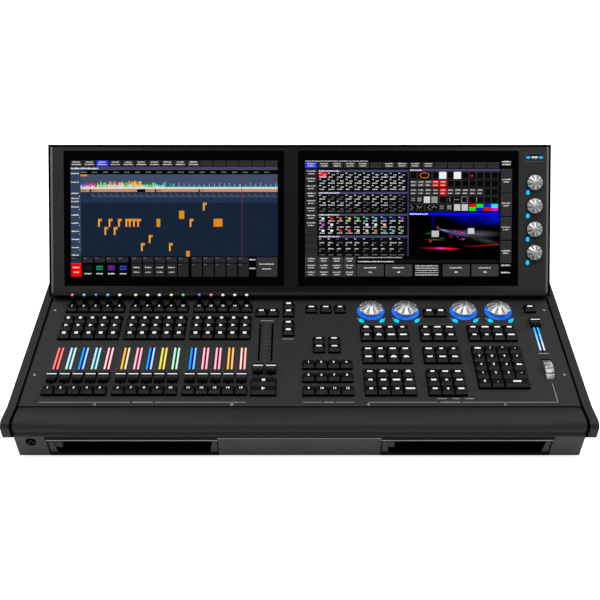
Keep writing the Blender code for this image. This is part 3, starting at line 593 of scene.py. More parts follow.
def mark_centre(bm, row, column, x, u):
    """Numbers on the twelve front keys and word stand-ins on the others."""
    if row < 3:
        put_number(bm, str((2 - row) * 4 + column + 1), x, u, NUMBER_HEIGHT, 0.0058)
    elif x < 0:
        mark_bar(bm, x, u, 0.0076, 0.0038, row)
    elif u > 0.2:
        mark_bar(bm, x, u, (0.0090, 0.0086, 0.0062)[min(column, 2)], 0.0024, column + 40)
    else:
        mark_bar(bm, x, u, 0.0084, 0.0024, row + column)


# Widths in millimetres of the word stand-ins; 0 is a symbol, and a negative value has two lines.
PROGRAMMER_WORDS = (
    (5.0, 5.5, 5.5, 14.0, 7.0, 0, 9.0),
    (6.0, 8.0, 11.0, 8.5, 8.0, 0, 9.0),
    (8.0, -9.0, 6.5, -8.0, 6.0, 8.5, 8.5),
    (9.5, 7.0, -9.0, -8.5, 8.0, 9.5, 8.5),
    (8.5, 6.5, 9.5, 8.5, 10.0, 5.5, 5.0),
    (7.0, -8.0, 11.0, 11.0, 8.0, 9.0, 7.5),
    (-8.5, 10.0, 7.0, 6.0, 6.0, 10.0, 10.0))


def mark_programmer(bm, row, column, x, u):
    """Word stand-ins of different widths, and up and down arrows."""
    width = PROGRAMMER_WORDS[row][column]
    if width == 0:
        lift = 1 if row else -1
        foot = -0.0012 * lift
        mark_polygon(bm, x, u, [(-0.0022, foot), (0.0022, foot), (0.0, 0.0030 * lift)][::lift])
    elif width < 0:
        mark_bar(bm, x, u - 0.0007, -width * MM, 0.0023, row * 9 + column)
        mark_bar(bm, x, u + 0.0015, -width * MM * 0.6, 0.0018, row * 9 + column + 70)
    else:
        mark_bar(bm, x, u, width * MM, 0.0029, row * 9 + column)


KEYPAD_SIGNS = (("0", ".", 12.0), ("1", "2", "3", "-"), ("4", "5", "6", 8.0), ("7", "8", "9", "+"),
                (9.5, "/", "*", "-"), (6.0, 5.0, 10.0, 10.5), (8.0, 11.0, 8.5, 7.5))


def mark_keypad(bm, row, column, x, u):
    """Numbers and signs of a number pad, and word stand-ins."""
    sign = KEYPAD_SIGNS[row][column]
    if isinstance(sign, str):
        put_number(bm, sign, x, u, NUMBER_HEIGHT, 0.0062)
    else:
        mark_bar(bm, x, u, sign * MM, 0.0029, row * 5 + column + 100)


make_bank("playback_keys", mark_playback)
make_bank("flash_keys", mark_flash)
make_bank("page_keys", mark_page)
make_bank("centre_keys", mark_centre)
make_bank("programmer_keys", mark_programmer)
make_bank("numeric_keypad", mark_keypad)


def make_go_keys():
    """The two wide keys that run and stop a cue."""
    for node in ("go_key", "stop_key"):
        low, high = corners_in(node, PANEL)
        x = (low.x + high.x) / 2
        u = (low.y + high.y) / 2
        caps = bmesh.new()
        keycap(caps, x, u, high.x - low.x, high.y - low.y)
        shape(node + "_cap", caps, [KEY_PLASTIC, EDGE_BLACK], node, PANEL, (node,))
        sign = bmesh.new()
        if node == "go_key":
            mark_arrow(sign, x, u + LEGEND_SHIFT)
        else:
            mark_square(sign, x, u + LEGEND_SHIFT, 0.0024)
        shape(node + "_legend", sign, WHITE_PRINT_GLOW, node, PANEL)


make_go_keys()

# Keys that the CAD leaves out, by their middles on the panel.
LOOSE_KEYS = ((0.2129, 0.222), (0.2324, 0.222), (0.381, 0.233))


def make_loose_keys():
    """Three more keys between and beside the large encoders."""
    caps = bmesh.new()
    signs = bmesh.new()
    for index, (x, u) in enumerate(LOOSE_KEYS):
        keycap(caps, x, u)
        mark_bar(signs, x, u + LEGEND_SHIFT, 0.0080, 0.0036 if index < 2 else 0.0026, index + 60)
    shape("encoder_side_keys", caps, [KEY_PLASTIC, EDGE_BLACK], "desk", PANEL)
    shape("encoder_side_key_legends", signs, WHITE_PRINT_GLOW, "desk", PANEL)


make_loose_keys()

# ---------------------------------------------------------------- faders


CAP_TOP = 0.0088
RIDGE_HALF = 0.0010


def fader_outline():
    """Side outline of a fader cap in (u, h): a straight ridge between two finger hollows."""
    half = 0.01175
    rear = []
    for step in range(8):
        share = step / 7
        dip = 0.0016 * math.sin(math.pi * min(1.0, share * 1.05)) ** 0.8
        rear.append((RIDGE_HALF + share * 0.0098, CAP_TOP - dip - 0.0003 * share))
    front = []
    for step in range(9):
        share = step / 8
        dip = 0.0022 * math.sin(math.pi * min(1.0, share * 1.2)) ** 0.7 if share < 0.83 else 0.0
        front.append((-RIDGE_HALF - share * 0.0094, CAP_TOP - dip - 0.0010 * share))
    return ([(-half, 0.0012), (half, 0.0012), (0.0115, 0.0070), (0.0112, 0.0080)] + rear[::-1] + front
            + [(-0.0110, 0.0070), (-0.0114, 0.0060)])


def make_fader(node):
    """A fader cap with a white line over its ridge, and its stem."""
    low, high = corners_in(node, PANEL)
    x, u, half = middle_of(node, PANEL)
    cap = bmesh.new()
    across(cap, fader_outline(), -half, half, 0.0006)
    for vert in cap.verts:
        vert.co.x *= 1 - 0.07 * vert.co.z / high.z
    box(cap, (-0.0006, -0.0020, low.z), (0.0006, 0.0020, 0.0030))
    bmesh.ops.translate(cap, verts=cap.verts, vec=(x, u, 0.0))
    shape(node + "_cap", cap, CAP_PLASTIC, node, PANEL, (node,), 40.0)
    line = bmesh.new()
    top = half * 0.94
    foot = CAP_TOP - 0.0026
    outline = [(-top, foot), (-top + 0.0002, CAP_TOP + 0.0001), (top - 0.0002, CAP_TOP + 0.0001),
               (top, foot), (top - 0.0004, foot), (top - 0.0006, CAP_TOP - 0.0002),
               (-top + 0.0006, CAP_TOP - 0.0002), (-top + 0.0004, foot)]
    loft(line, [[(x + px, u + pu, h) for px, h in outline] for pu in (0.0010, -0.0010)])
    shape(node + "_line", line, WHITE_PRINT_GLOW, node, PANEL)


FADERS = sorted(name for name in NODES if name.startswith(("playback_fader", "crossfader", "master_fader")))
for fader in FADERS:
    make_fader(fader)

# The light strips beside each playback fader: colour between the bars, left bar, right bar.
STRIP_COLORS = (
    ((205, 0, 0), (255, 150, 150), (255, 150, 150)),
    ((0, 150, 165), (232, 255, 255), (232, 255, 255)),
    ((0, 0, 215), (20, 190, 255), (190, 232, 255)),
    ((0, 150, 180), (205, 250, 255), (205, 250, 255)),
    ((215, 0, 60), (255, 235, 240), (255, 235, 240)),
    ((170, 95, 0), (255, 215, 95), (255, 248, 215)),
    ((225, 0, 80), (255, 215, 230), (255, 215, 230)),
    ((0, 0, 215), (20, 185, 255), (205, 235, 255)),
    ((165, 140, 0), (255, 242, 120), (255, 242, 120)),
    ((0, 150, 75), (225, 255, 235), (225, 255, 235)),
    ((0, 0, 220), (20, 180, 255), (140, 218, 255)),
    ((225, 0, 80), (255, 215, 230), (255, 215, 230)),
    ((220, 0, 90), (255, 215, 233), (255, 215, 233)),
    ((195, 80, 0), (255, 212, 105), (255, 222, 135)),
    ((220, 60, 0), (255, 244, 235), (255, 222, 205)))
STRIP_FRONT = 0.054
STRIP_REAR = 0.1346
# The master fader's strip from the front: from, to, colour between the bars, and of the bars.
MASTER_STRIP = ((0.128, 0.1500, (0, 50, 150), (235, 252, 255)),
                (0.1505, 0.1700, (0, 50, 150), (150, 238, 255)),
                (0.1705, 0.1900, (0, 40, 140), (50, 215, 255)))


def light_strip(drawing, x, front, rear, between, bar_looks):
    """Two lit bars on either side of a fader slot, with coloured light in the slot and around them."""
    bm = drawing["bm"]
    edge = ink(drawing, between)
    for side, look in zip((-1, 1), bar_looks):
        lip = sorted((x + side * 0.00075, x + side * 0.00158))
        box(bm, (lip[0], front, -0.0011), (lip[1], rear, -0.0003), edge)
        inner, outer = sorted((x + side * 0.0016, x + side * 0.0047))
        ring = rounded(inner, outer, front, rear, 0.001, 4)
        loft(bm, [[(px, pu, h) for px, pu in ring] for h in (0.00005, 0.0003)], edge)
        inner, outer = sorted((x + side * 0.00175, x + side * 0.0043))
        ring = rounded(inner, outer, front, rear, 0.001, 4)
        loft(bm, [[(px, pu, h) for px, pu in ring] for h in (0.00035, 0.0007)], ink(drawing, look))


def make_light_strips():
    """Fifteen coloured pairs of bars, and the master fader's blue pair."""
    drawing = plates("fader_light_strips", "desk", PANEL, "panel_paint")
    for index, (between, left, right) in enumerate(STRIP_COLORS):
        x = middle_of(f"playback_fader_{index + 1:02d}", PANEL)[0]
        light_strip(drawing, x, STRIP_FRONT, STRIP_REAR, glow(*between), (glow(*left), glow(*right)))
    x = middle_of("master_fader", PANEL)[0]
    for front, rear, between, bars in MASTER_STRIP:
        light_strip(drawing, x, front, rear, glow(*between), (glow(*bars),) * 2)
    finish_plates(drawing)


make_light_strips()

# ---------------------------------------------------------------- encoders, wheel and buttons

FLUTES = 8
# Rings of a knob above its foot: share of its radius, share of its height, and depth of the creases.
DOME = ((0.97, 0.46, 0.0), (1.0, 0.50, 0.030), (0.985, 0.545, 0.120), (0.90, 0.61, 0.190),
        (0.76, 0.70, 0.200), (0.60, 0.80, 0.170), (0.44, 0.90, 0.110), (0.32, 0.965, 0.050),
        (0.20, 0.99, 0.010), (0.08, 1.0, 0.0))


def fluted_dome(bm, x, y, radius, top, segments):
    """A low knob whose broad flutes run over its top towards the middle."""
    foot = ((0.78, 0.0008), (0.80, 0.0010), (0.81, top * 0.30), (0.85, top * 0.40))
    rings = [[(px, py, height) for px, py in circle(x, y, radius * share, segments)]
             for share, height in foot]
    for share, height, flute in DOME:
        ring = []
        for step in range(segments):
            angle = math.tau * step / segments
            valley = max(0.0, -math.cos(FLUTES * angle)) ** 3
            reach = radius * share * (1 - 0.45 * flute * valley)
            ring.append((x + reach * math.cos(angle), y + reach * math.sin(angle),
                         top * (height - flute * valley)))
        rings.append(ring)
    loft(bm, rings)


def make_encoder(node):
    """A large knob with its shaft."""
    low, high = corners_in(node, PANEL)
    x, u, radius = middle_of(node, PANEL)
    bm = bmesh.new()
    fluted_dome(bm, x, u, radius, high.z, 128)
    turned(bm, [(0.003, low.z), (0.003, 0.0020)], x, u, 24)
    shape(node + "_knob", bm, KNOB_METAL, node, PANEL, (node,), 50.0)


def make_side_encoder(node):
    """A small knob beside the right screen, and the dark washer under it."""
    turn = DISPLAY @ Matrix.Rotation(math.radians(90.0), 4, "X")
    low, high = corners_in(node, turn)
    x, y, radius = middle_of(node, turn)
    bm = bmesh.new()
    fluted_dome(bm, x, y, radius, high.z, 96)
    turned(bm, [(0.003, low.z), (0.003, 0.0015)], x, y, 24)
    shape(node + "_knob", bm, KNOB_METAL, node, turn, (node,), 50.0)
    washer = bmesh.new()
    turned_ring(washer, [(0.0050, 0.0001), (0.0050, 0.0006), (0.0134, 0.0006), (0.0137, 0.0001)], x, y, 40)
    shape(node + "_washer", washer, BAY_BLACK, "display", turn)


RING_OUTER = 0.0225
RING_INNER = 0.0201


def make_encoder_rings():
    """Lit rings around the large encoders, with two lit buttons in front of each."""
    rings = bmesh.new()
    buttons = bmesh.new()
    dots = bmesh.new()
    for index in range(4):
        x, u, _ = middle_of(f"encoder_{index + 1}", PANEL)
        section = [(RING_INNER - 0.004, 0.0002), (RING_INNER - 0.004, 0.0010), (RING_INNER, 0.0026),
                   (RING_OUTER - 0.0006, 0.0026), (RING_OUTER, 0.0018), (RING_OUTER, 0.0002)]
        turned_ring(rings, section, x, u, 72)
        for side in (-1, 1):
            place = Vector((x + side * 0.0168, u - 0.0253, 0.0))
            ring = []
            for step in range(24):
                angle = math.tau * step / 24
                point = Vector((0.0050 * math.cos(angle), 0.0029 * math.sin(angle), 0.0))
                point.rotate(Matrix.Rotation(math.radians(40.0 * side), 3, "Z"))
                ring.append((point.x, point.y))
            loft(buttons, [[(place.x + px * scale, place.y + pu * scale, h) for px, pu in ring]
                           for scale, h in ((1.0, 0.0001), (1.0, 0.0016), (0.9, 0.0024), (0.6, 0.0028))])
            turned(dots, [(0.0012, 0.0001), (0.0012, 0.0006), (0.0008, 0.0009)], x + side * 0.0222,
                   u - 0.0188, 12)
    shape("encoder_light_rings", rings, RING_BLUE, "desk", PANEL)
    shape("encoder_buttons", buttons, glow(20, 215, 250), "desk", PANEL)
    shape("encoder_marks", dots, GREY_PRINT_AND_HIGHLIGHT, "desk", PANEL)


def lit_plastic(name, dark, light):
    """Translucent plastic lit from below, a little uneven."""
    made, tree, output = new_material(name)
    place = add(tree, "TexCoord").outputs["Object"]
    color = ramp_of(tree, noise(tree, place, 60.0, 1.0), [(0.3, [linear(value) for value in dark]),
                                                          (0.7, [linear(value) for value in light])])
    shader = add(tree, "Emission", {"Color": color})
    tree.links.new(shader.outputs["Emission"], output)
    return made


RING_BLUE = lit_plastic("ring_blue", (25, 100, 235), (45, 130, 255))

for number in range(1, 5):
    make_encoder(f"encoder_{number}")
    make_side_encoder(f"side_encoder_{number}")
make_encoder_rings()


def make_thumb_wheel():
    """A ridged wheel with rounded shoulders."""
    low, high = corners_in("thumb_wheel", PANEL)
    centre = (low + high) / 2
    radius = (high.z - low.z) / 2
    half = (high.x - low.x) / 2
    segments = 160
    grooves = 18
    rings = []
    for x, share in ((-1.0, 0.94), (-0.93, 0.975), (-0.80, 1.0), (0.0, 1.0), (0.80, 1.0), (0.93, 0.975),
                     (1.0, 0.94)):
        ring = []
        for step in range(segments):
            angle = math.tau * step / segments
            dip = max(0.0, math.cos(grooves * angle)) ** 9
            reach = radius * share * (1 - 0.060 * dip)
            ring.append((centre.x + x * half, centre.y + reach * math.cos(angle),
                         centre.z + reach * math.sin(angle)))
        rings.append(ring)
    bm = bmesh.new()
    loft(bm, rings)
    shape("thumb_wheel_rim", bm, WHEEL_METAL, "thumb_wheel", PANEL, ("thumb_wheel",), 50.0)


WHEEL_METAL = surface("wheel_metal", (0.34, 0.34, 0.345), 0.50, 1500.0, 0.00001, 1.0, spread=0.05)
make_thumb_wheel()

SELECT_LIGHTS = (
    (255, 95, 105), (45, 205, 225), (85, 75, 225), (40, 195, 215), (255, 240, 240),
    (255, 225, 190), (255, 235, 240), (200, 220, 255), (235, 240, 90), (30, 215, 110),
    (95, 75, 235), (255, 110, 170), (255, 225, 225), (255, 235, 215), (255, 225, 215))


def make_select_encoders():
    """Fifteen slim encoders with lit tips behind the playback keys."""
    stalks = bmesh.new()
    tips = plates("select_encoder_tips", "desk", PANEL, "key_plastic")
    for (x, u, _), color in zip(key_places("playback_keys")[3], SELECT_LIGHTS):
        u += 0.0150
        turned(stalks, [(0.0060, 0.0002), (0.0060, 0.0018), (0.0050, 0.0035), (0.0040, 0.0080),
                        (0.0034, 0.0130), (0.0031, 0.0188), (0.0029, 0.0192)], x, u, 20)
        turned(tips["bm"], [(0.0026, 0.0190), (0.0026, 0.0199), (0.0020, 0.0205)], x, u, 20,
               ink(tips, glow(*color)))
        pale = [int(channel * 0.4 + 153) for channel in color]
        turned(tips["bm"], [(0.0014, 0.02052), (0.0013, 0.0208), (0.0008, 0.0210)], x, u, 16,
               ink(tips, glow(*pale)))
    shape("select_encoders", stalks, KEY_PLASTIC, "desk", PANEL)
    finish_plates(tips)


make_select_encoders()

# ---------------------------------------------------------------- printing and screws on the panel

# Thin printed lines: left end, right end, and how far up the panel, in millimetres.
PRINTED_LINES = ((-385, -250.7, 9.1), (-213.9, -79.5, 9.1), (5.1, 33.3, 9.1), (54.0, 80.7, 9.1),
                 (101.4, 205.2, 9.1), (240.8, 382.3, 9.1), (99.7, 347.3, 195.5))
# Stand-ins for small printed words: middle, width, and how far up the panel, in millimetres.
PRINTED_WORDS = ((-232.0, 30.0, 9.1), (43.6, 15.0, 9.1), (223.0, 30.0, 9.1), (-53.5, 20.0, 204.0),
                 (-18.2, 18.0, 253.0), (-18.2, 18.0, 157.0), (30.6, 14.0, 164.0), (54.9, 14.0, 164.0),
                 (211.5, 14.0, 17.0), (232.0, 9.0, 17.0), (252.0, 12.0, 17.0), (382.5, 16.0, 121.0))
SCREWS = ((-0.405, 0.232), (0.405, 0.232), (-0.405, 0.070), (0.405, 0.070), (-0.3024, 0.004),
          (-0.1001, 0.004), (0.102, 0.004), (0.3038, 0.004))


PRINT_LOW = 0.00005
PRINT_HIGH = 0.00015
LINE_HALF = 0.00035


def print_bar(drawing, left, right, front, rear, look):
    """A thin printed rectangle on the panel."""
    box(drawing["bm"], (left, front, PRINT_LOW), (right, rear, PRINT_HIGH), ink(drawing, look))


def print_words(drawing, x, u, width, height, seed, look):
    """A faint row of small blocks in place of printed words."""
    chance = random.Random(seed)
    left = x - width / 2
    while left < x + width / 2:
        step = chance.uniform(0.0009, 0.0018)
        print_bar(drawing, left, left + step, u - height / 2, u + height / 2, look)
        left += step + 0.0005


def print_scale(drawing, x, first, pitch, long, short, half):
    """Eleven ticks up the panel, every fifth one longer. half is half a tick's thickness."""
    for tick in range(11):
        u = first + tick * pitch
        reach = short if tick % 5 else long
        print_bar(drawing, x - reach, x + reach, u - half, u + half, INK_BLUE_GREY)


def make_printing():
    """Printed lines, scales and word stand-ins."""
    drawing = plates("panel_printing", "desk", PANEL, "panel_paint")
    for left, right, u in PRINTED_LINES:
        print_bar(drawing, left * MM, right * MM, u * MM - LINE_HALF, u * MM + LINE_HALF,
                  GREY_PRINT_AND_HIGHLIGHT if u < 100 else INK_DIM)
    print_bar(drawing, 0.3820, 0.3827, 0.0091, 0.0500, GREY_PRINT_AND_HIGHLIGHT)
    for index, (x, width, u) in enumerate(PRINTED_WORDS):
        print_words(drawing, x * MM, u * MM, width * MM, 0.0014, index, GREY_PRINT_AND_HIGHLIGHT)
    for index in range(15):
        x = middle_of(f"playback_fader_{index + 1:02d}", PANEL)[0]
        print_scale(drawing, x - 0.0098, 0.0570, 0.0070, 0.0026, 0.0018, 0.0003)
    cross_left, cross_right = [corners_in(f"crossfader_{side}", PANEL) for side in (1, 2)]
    x = (cross_left[0].x + cross_right[1].x) / 2
    print_scale(drawing, x, 0.0950, 0.0096, 0.0030, 0.0021, 0.0004)
    x = middle_of("master_fader", PANEL)[0]
    print_scale(drawing, x - 0.0105, 0.1310, 0.0060, 0.0024, 0.0015, 0.0003)
    finish_plates(drawing)


make_printing()


def screw_head(bm, x, y, radius=0.0024):
    """A low round head with a six-sided recess, facing +Z."""
    turned_ring(bm, [(radius * 0.5, 0.0001), (radius * 0.5, 0.0010), (radius * 0.72, 0.0011),
                     (radius * 0.95, 0.0007), (radius, 0.0001)], x, y, 24)
    turned(bm, [(radius * 0.52, 0.00005), (radius * 0.5 * 1.04, 0.0003)], x, y, 6)


def make_panel_screws():
    """Eight screws that hold the control panel."""
    bm = bmesh.new()
    for x, u in SCREWS:
        screw_head(bm, x, u)
    shape("panel_screws", bm, SCREW_STEEL, "desk", PANEL)


make_panel_screws()

# ---------------------------------------------------------------- armrest, cheeks and front

FRONT_Y = PANEL_ORIGIN.y
FRONT_Z = PANEL_ORIGIN.z


def bend(middle, radius, start, end, steps):
    """Points of an arc in (Y, Z), in degrees."""
    return [(middle[0] + radius * math.cos(math.radians(start + (end - start) * step / steps)),
             middle[1] + radius * math.sin(math.radians(start + (end - start) * step / steps)))
            for step in range(steps + 1)]


def at_front(points):
    """Side-outline points given from the panel's front edge."""
    return [(FRONT_Y + back, FRONT_Z + up) for back, up in points]


def shade_along(look, axis, stops):
    """Paint light and shade into a finish's colour along an axis of its object. stops are (place in metres,
    share).
    """
    tree = look.node_tree
    shader = next(node for node in tree.nodes if node.type == "BSDF_PRINCIPLED")
    paint = shader.inputs["Base Color"].links[0].from_socket
    start, end = stops[0][0], stops[-1][0]
    split = add(tree, "SeparateXYZ", {"Vector": add(tree, "TexCoord").outputs["Object"]})
    span = add(tree, "MapRange", {"From Min": start, "From Max": end, "Value": split.outputs[axis]})
    shade = ramp_of(tree, span.outputs["Result"], [((place - start) / (end - start), (share,) * 3)
                                                   for place, share in stops])
    blend = add(tree, "Mix", data_type="RGBA", blend_type="MULTIPLY")
    blend.inputs["Factor"].default_value = 1.0
    tree.links.new(paint, blend.inputs[6])
    tree.links.new(shade, blend.inputs[7])
    tree.links.new(blend.outputs[2], shader.inputs["Base Color"])


# Painted light and shade on the display frame: its colour is darkest in the middle and lightest at the
# ends, in place of how the light falls on it.
shade_along(FRAME_PAINT, "X", ((-0.365, 1.0), (-0.310, 0.85), (-0.220, 0.35), (0.000, 0.10),
                               (0.100, 0.15), (0.240, 0.55), (0.365, 1.10)))
# Painted shade on the armrest: darkest at its rear by the panel, lightest over the crown.
shade_along(RUBBER, "Y", ((FRONT_Y - 0.045, 0.95), (FRONT_Y - 0.028, 1.05), (FRONT_Y - 0.014, 0.80),
                          (FRONT_Y - 0.001, 0.25)))


def make_armrest():
    """The soft rail in front of the panel: a groove, a crowned top and an undercut front."""
    low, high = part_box("armrest")
    front = bend((-0.0335, -0.0235), 0.0062, 265, 190, 6) + [(-0.0385, -0.0205), (-0.0400, -0.0188)]
    crown = bend((-0.0350, -0.0110), 0.0092, 185, 96, 10)
    top = [(-0.0290, -0.0012), (-0.0200, -0.0006), (-0.0110, -0.0004), (-0.0060, -0.0005),
           (-0.0034, -0.0006), (-0.0024, -0.0008), (-0.0010, -0.0008), (-0.0010, -0.0297)]
    outline = at_front(front + crown + top)[::-1]
    bm = bmesh.new()
    across(bm, outline, low[0] + 0.0012, high[0] - 0.0012, 0.0012)
    shape("armrest_rail", bm, RUBBER, "desk", None, ("armrest",), 30.0, outward=True)


def make_cheek_gap_shadows():
    """A near-black line of painted shadow in the gap along the top inner edge of each cheek."""
    nose = bend((-0.0335, -0.0235), 0.0077, 200, 190, 2) + bend((-0.0355, -0.0105), 0.0102, 178, 92, 8)
    start = PANEL @ Vector((0.0, 0.0, 0.0012))
    end = PANEL @ Vector((0.0, 0.262, 0.0012))
    line = at_front(nose) + [(start.y, start.z), (end.y, end.z)]
    under = [(y + 0.0006, z - 0.0007) for y, z in line]
    outline = (line + under[::-1])[::-1]
    cheek_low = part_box("right_cheek")[0]
    bm = bmesh.new()
    for side in (-1, 1):
        ends = sorted((side * (cheek_low[0] - 0.0006), side * (cheek_low[0] + 0.0021)))
        across(bm, outline, ends[0], ends[1])
    shape("cheek_gap_shadows", bm, EDGE_BLACK, "desk", None, outward=True)


make_armrest()
make_cheek_gap_shadows()
PAN_LEAN = 0.39               # the pan's front comes forward by this share of its height
PAN_FOOT_Z = 0.004
PAN_FOOT_Y = FRONT_Y - 0.014


def front_prism(bm, points, back, thickness):
    """A prism on the pan's sloping front. points are (x, z), counterclockwise seen from the front."""
    rings = []
    for depth in (back + thickness, back):
        rings.append([(x, PAN_FOOT_Y - PAN_LEAN * (z - PAN_FOOT_Z) + depth, z) for x, z in points])
    loft(bm, rings)


def front_block(bm, left, right, low, high, back, thickness):
    """A flat block on the pan's sloping front."""
    front_prism(bm, [(left, low), (right, low), (right, high), (left, high)], back, thickness)


def make_bay_details():
    """A light grey lip over the mouth of each bay and a line between the bays, painted highlights on sheet
    edges; the slanting reveals and a small block in the mouth of each bay; and a near-black band of painted
    shadow on the pan's front.
    """
    lips = bmesh.new()
    reveals = bmesh.new()
    for node in ("front_bay_left", "front_bay_right"):
        low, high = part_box(node)
        left, bottom = low[0], low[2]
        right, top = high[0], high[2]
        # The lip's light grey is a painted highlight on the front edge of the bay's top wall.
        front_block(lips, left, right, top + 0.0014, top + 0.0030, -0.0008, 0.0040)
        for edge, way in ((left, 1), (right, -1)):
            points = [(edge - way * 0.0006, top + 0.0014), (edge - way * 0.0006, bottom + 0.0004),
                      (edge + way * 0.0125, bottom + 0.0004), (edge + way * 0.0078, top + 0.0014)]
            front_prism(reveals, points if way > 0 else points[::-1], 0.0016, 0.0010)
        block_left = left + 0.0092
        front_prism(reveals, [(block_left, bottom + 0.0110), (block_left + 0.0115, bottom + 0.0110),
                              (block_left + 0.0105, bottom + 0.0225), (block_left, bottom + 0.0225)],
                    0.0045, 0.0080)
    low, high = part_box("front_bay_left")
    front_block(lips, high[0], -high[0], 0.0436, 0.0446, -0.0008, 0.0007)
    shape("bay_lips", lips, GREY_PRINT_AND_HIGHLIGHT, "desk", None, outward=True)
    shape("bay_reveals", reveals, PAN_PAINT, "desk", None, outward=True)
    # Painted shadow: a near-black band under the armrest, and strips along the top and bottom edges of each
    # bay.
    band = bmesh.new()
    reach = -low[0] + 0.0020
    front_prism(band, [(-reach, high[2] + 0.0030), (high[0], high[2] + 0.0030), (high[0], 0.0450),
                       (-high[0], 0.0450), (-high[0], high[2] + 0.0030), (reach, high[2] + 0.0030),
                       (reach, 0.0500), (-reach, 0.0500)], -0.0006, 0.0005)
    for side in (-1, 1):
        ends = sorted((side * -low[0], side * -high[0]))
        front_block(band, ends[0], ends[1], 0.0044, 0.0084, -0.0005, 0.0004)
        front_block(band, ends[0], ends[1], high[2] - 0.0004, high[2] + 0.0014, -0.0005, 0.0004)
    shape("pan_shadow_band", band, BAY_BLACK, "desk", None, outward=True)


def make_round_socket():
    """A round socket with three contacts at the left end of the pan's front."""
    turn = Matrix.Translation((-0.3935, FRONT_Y - 0.0268, 0.0365)) @ Matrix.Rotation(
        math.radians(90.0 + 21.3), 4, "X")
    ring = bmesh.new()
    turned_ring(ring, [(0.0058, -0.0006), (0.0058, 0.0016), (0.0066, 0.0022), (0.0073, 0.0016),
                       (0.0075, -0.0006)], 0.0, 0.0, 36)
    turned(ring, [(0.0059, -0.0006), (0.0059, 0.0006)], 0.0, 0.0, 36)
    shape("round_socket", ring, EDGE_BLACK, "desk", turn)
    face = bmesh.new()
    for angle in (0.0, 120.0, 240.0):
        turned(face, [(0.0013, 0.0005), (0.0013, 0.0010)], 0.0036 * math.cos(math.radians(angle + 90.0)),
               0.0036 * math.sin(math.radians(angle + 90.0)), 12)
    shape("round_socket_pins", face, PAN_PAINT, "desk", turn)


make_bay_details()
make_round_socket()


def make_rear_sockets():
    """A steel rim, a dark face and five contacts on each round output socket of the rear panel."""
    low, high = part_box("dmx_connector_block")
    turn = Matrix.Translation((0.0, high[1], 0.0)) @ Matrix.Rotation(math.radians(-90.0), 4, "X")
    rims = bmesh.new()
    faces = bmesh.new()
    height = -(low[2] + high[2]) / 2
    for index in range(8):
        x = low[0] + 0.018 + index * (high[0] - low[0] - 0.036) / 7
        turned_ring(rims, [(0.0090, -0.0004), (0.0090, 0.0008), (0.0096, 0.0012), (0.0114, 0.0012),
                           (0.0118, 0.0006), (0.0118, -0.0004)], x, height, 40)
        turned(faces, [(0.0089, -0.0004), (0.0089, 0.0003)], x, height, 32)
        for pin in range(5):
            angle = math.radians(54.0 + 72.0 * pin)
            turned(rims, [(0.0011, 0.0004), (0.0011, 0.0007)], x + 0.0052 * math.cos(angle),
                   height + 0.0052 * math.sin(angle), 12)
    shape("output_socket_rims", rims, SCREW_STEEL, "desk", turn)
    shape("output_socket_faces", faces, BAY_BLACK, "desk", turn)


make_rear_sockets()


def soften(node, width):
    """Round the edges of a carried-over CAD node a little."""
    made = NODES[node]
    made.data.shade_smooth()
    made.data.set_sharp_from_angle(angle=math.radians(32.0))
    weld = made.modifiers.new("weld", "WELD")
    weld.merge_threshold = 0.00002
    bevel = made.modifiers.new("bevel", "BEVEL")
    bevel.width = width
    bevel.segments = 2
    bevel.limit_method = "ANGLE"
    bevel.angle_limit = math.radians(40.0)
    bevel.harden_normals = False
    made.modifiers.new("normals", "WEIGHTED_NORMAL").keep_sharp = False


for rounded_node, edge_width in (("left_cheek", 0.0012), ("right_cheek", 0.0012), ("base_pan", 0.0005),
                                 ("rear_cover", 0.0005), ("display_back_cover", 0.0008)):
    soften(rounded_node, edge_width)

# ---------------------------------------------------------------- display


def ring_along_face(left, right, low, high, radius, t):
    """A rounded rectangle in the display's face, counterclockwise seen from the back."""
    return [(x, t, s) for x, s in reversed(rounded(left, right, low, high, radius, 4))]


def face_plate(drawing, left, right, low, high, radius, out, look):
    """A thin rounded plate on the display's face."""
    ring = ring_along_face(left, right, low, high, radius, 0.0)
    rings = [[(x, t, s) for x, _, s in ring] for t in (-out, -0.0001)]
    loft(drawing["bm"], rings, ink(drawing, look))


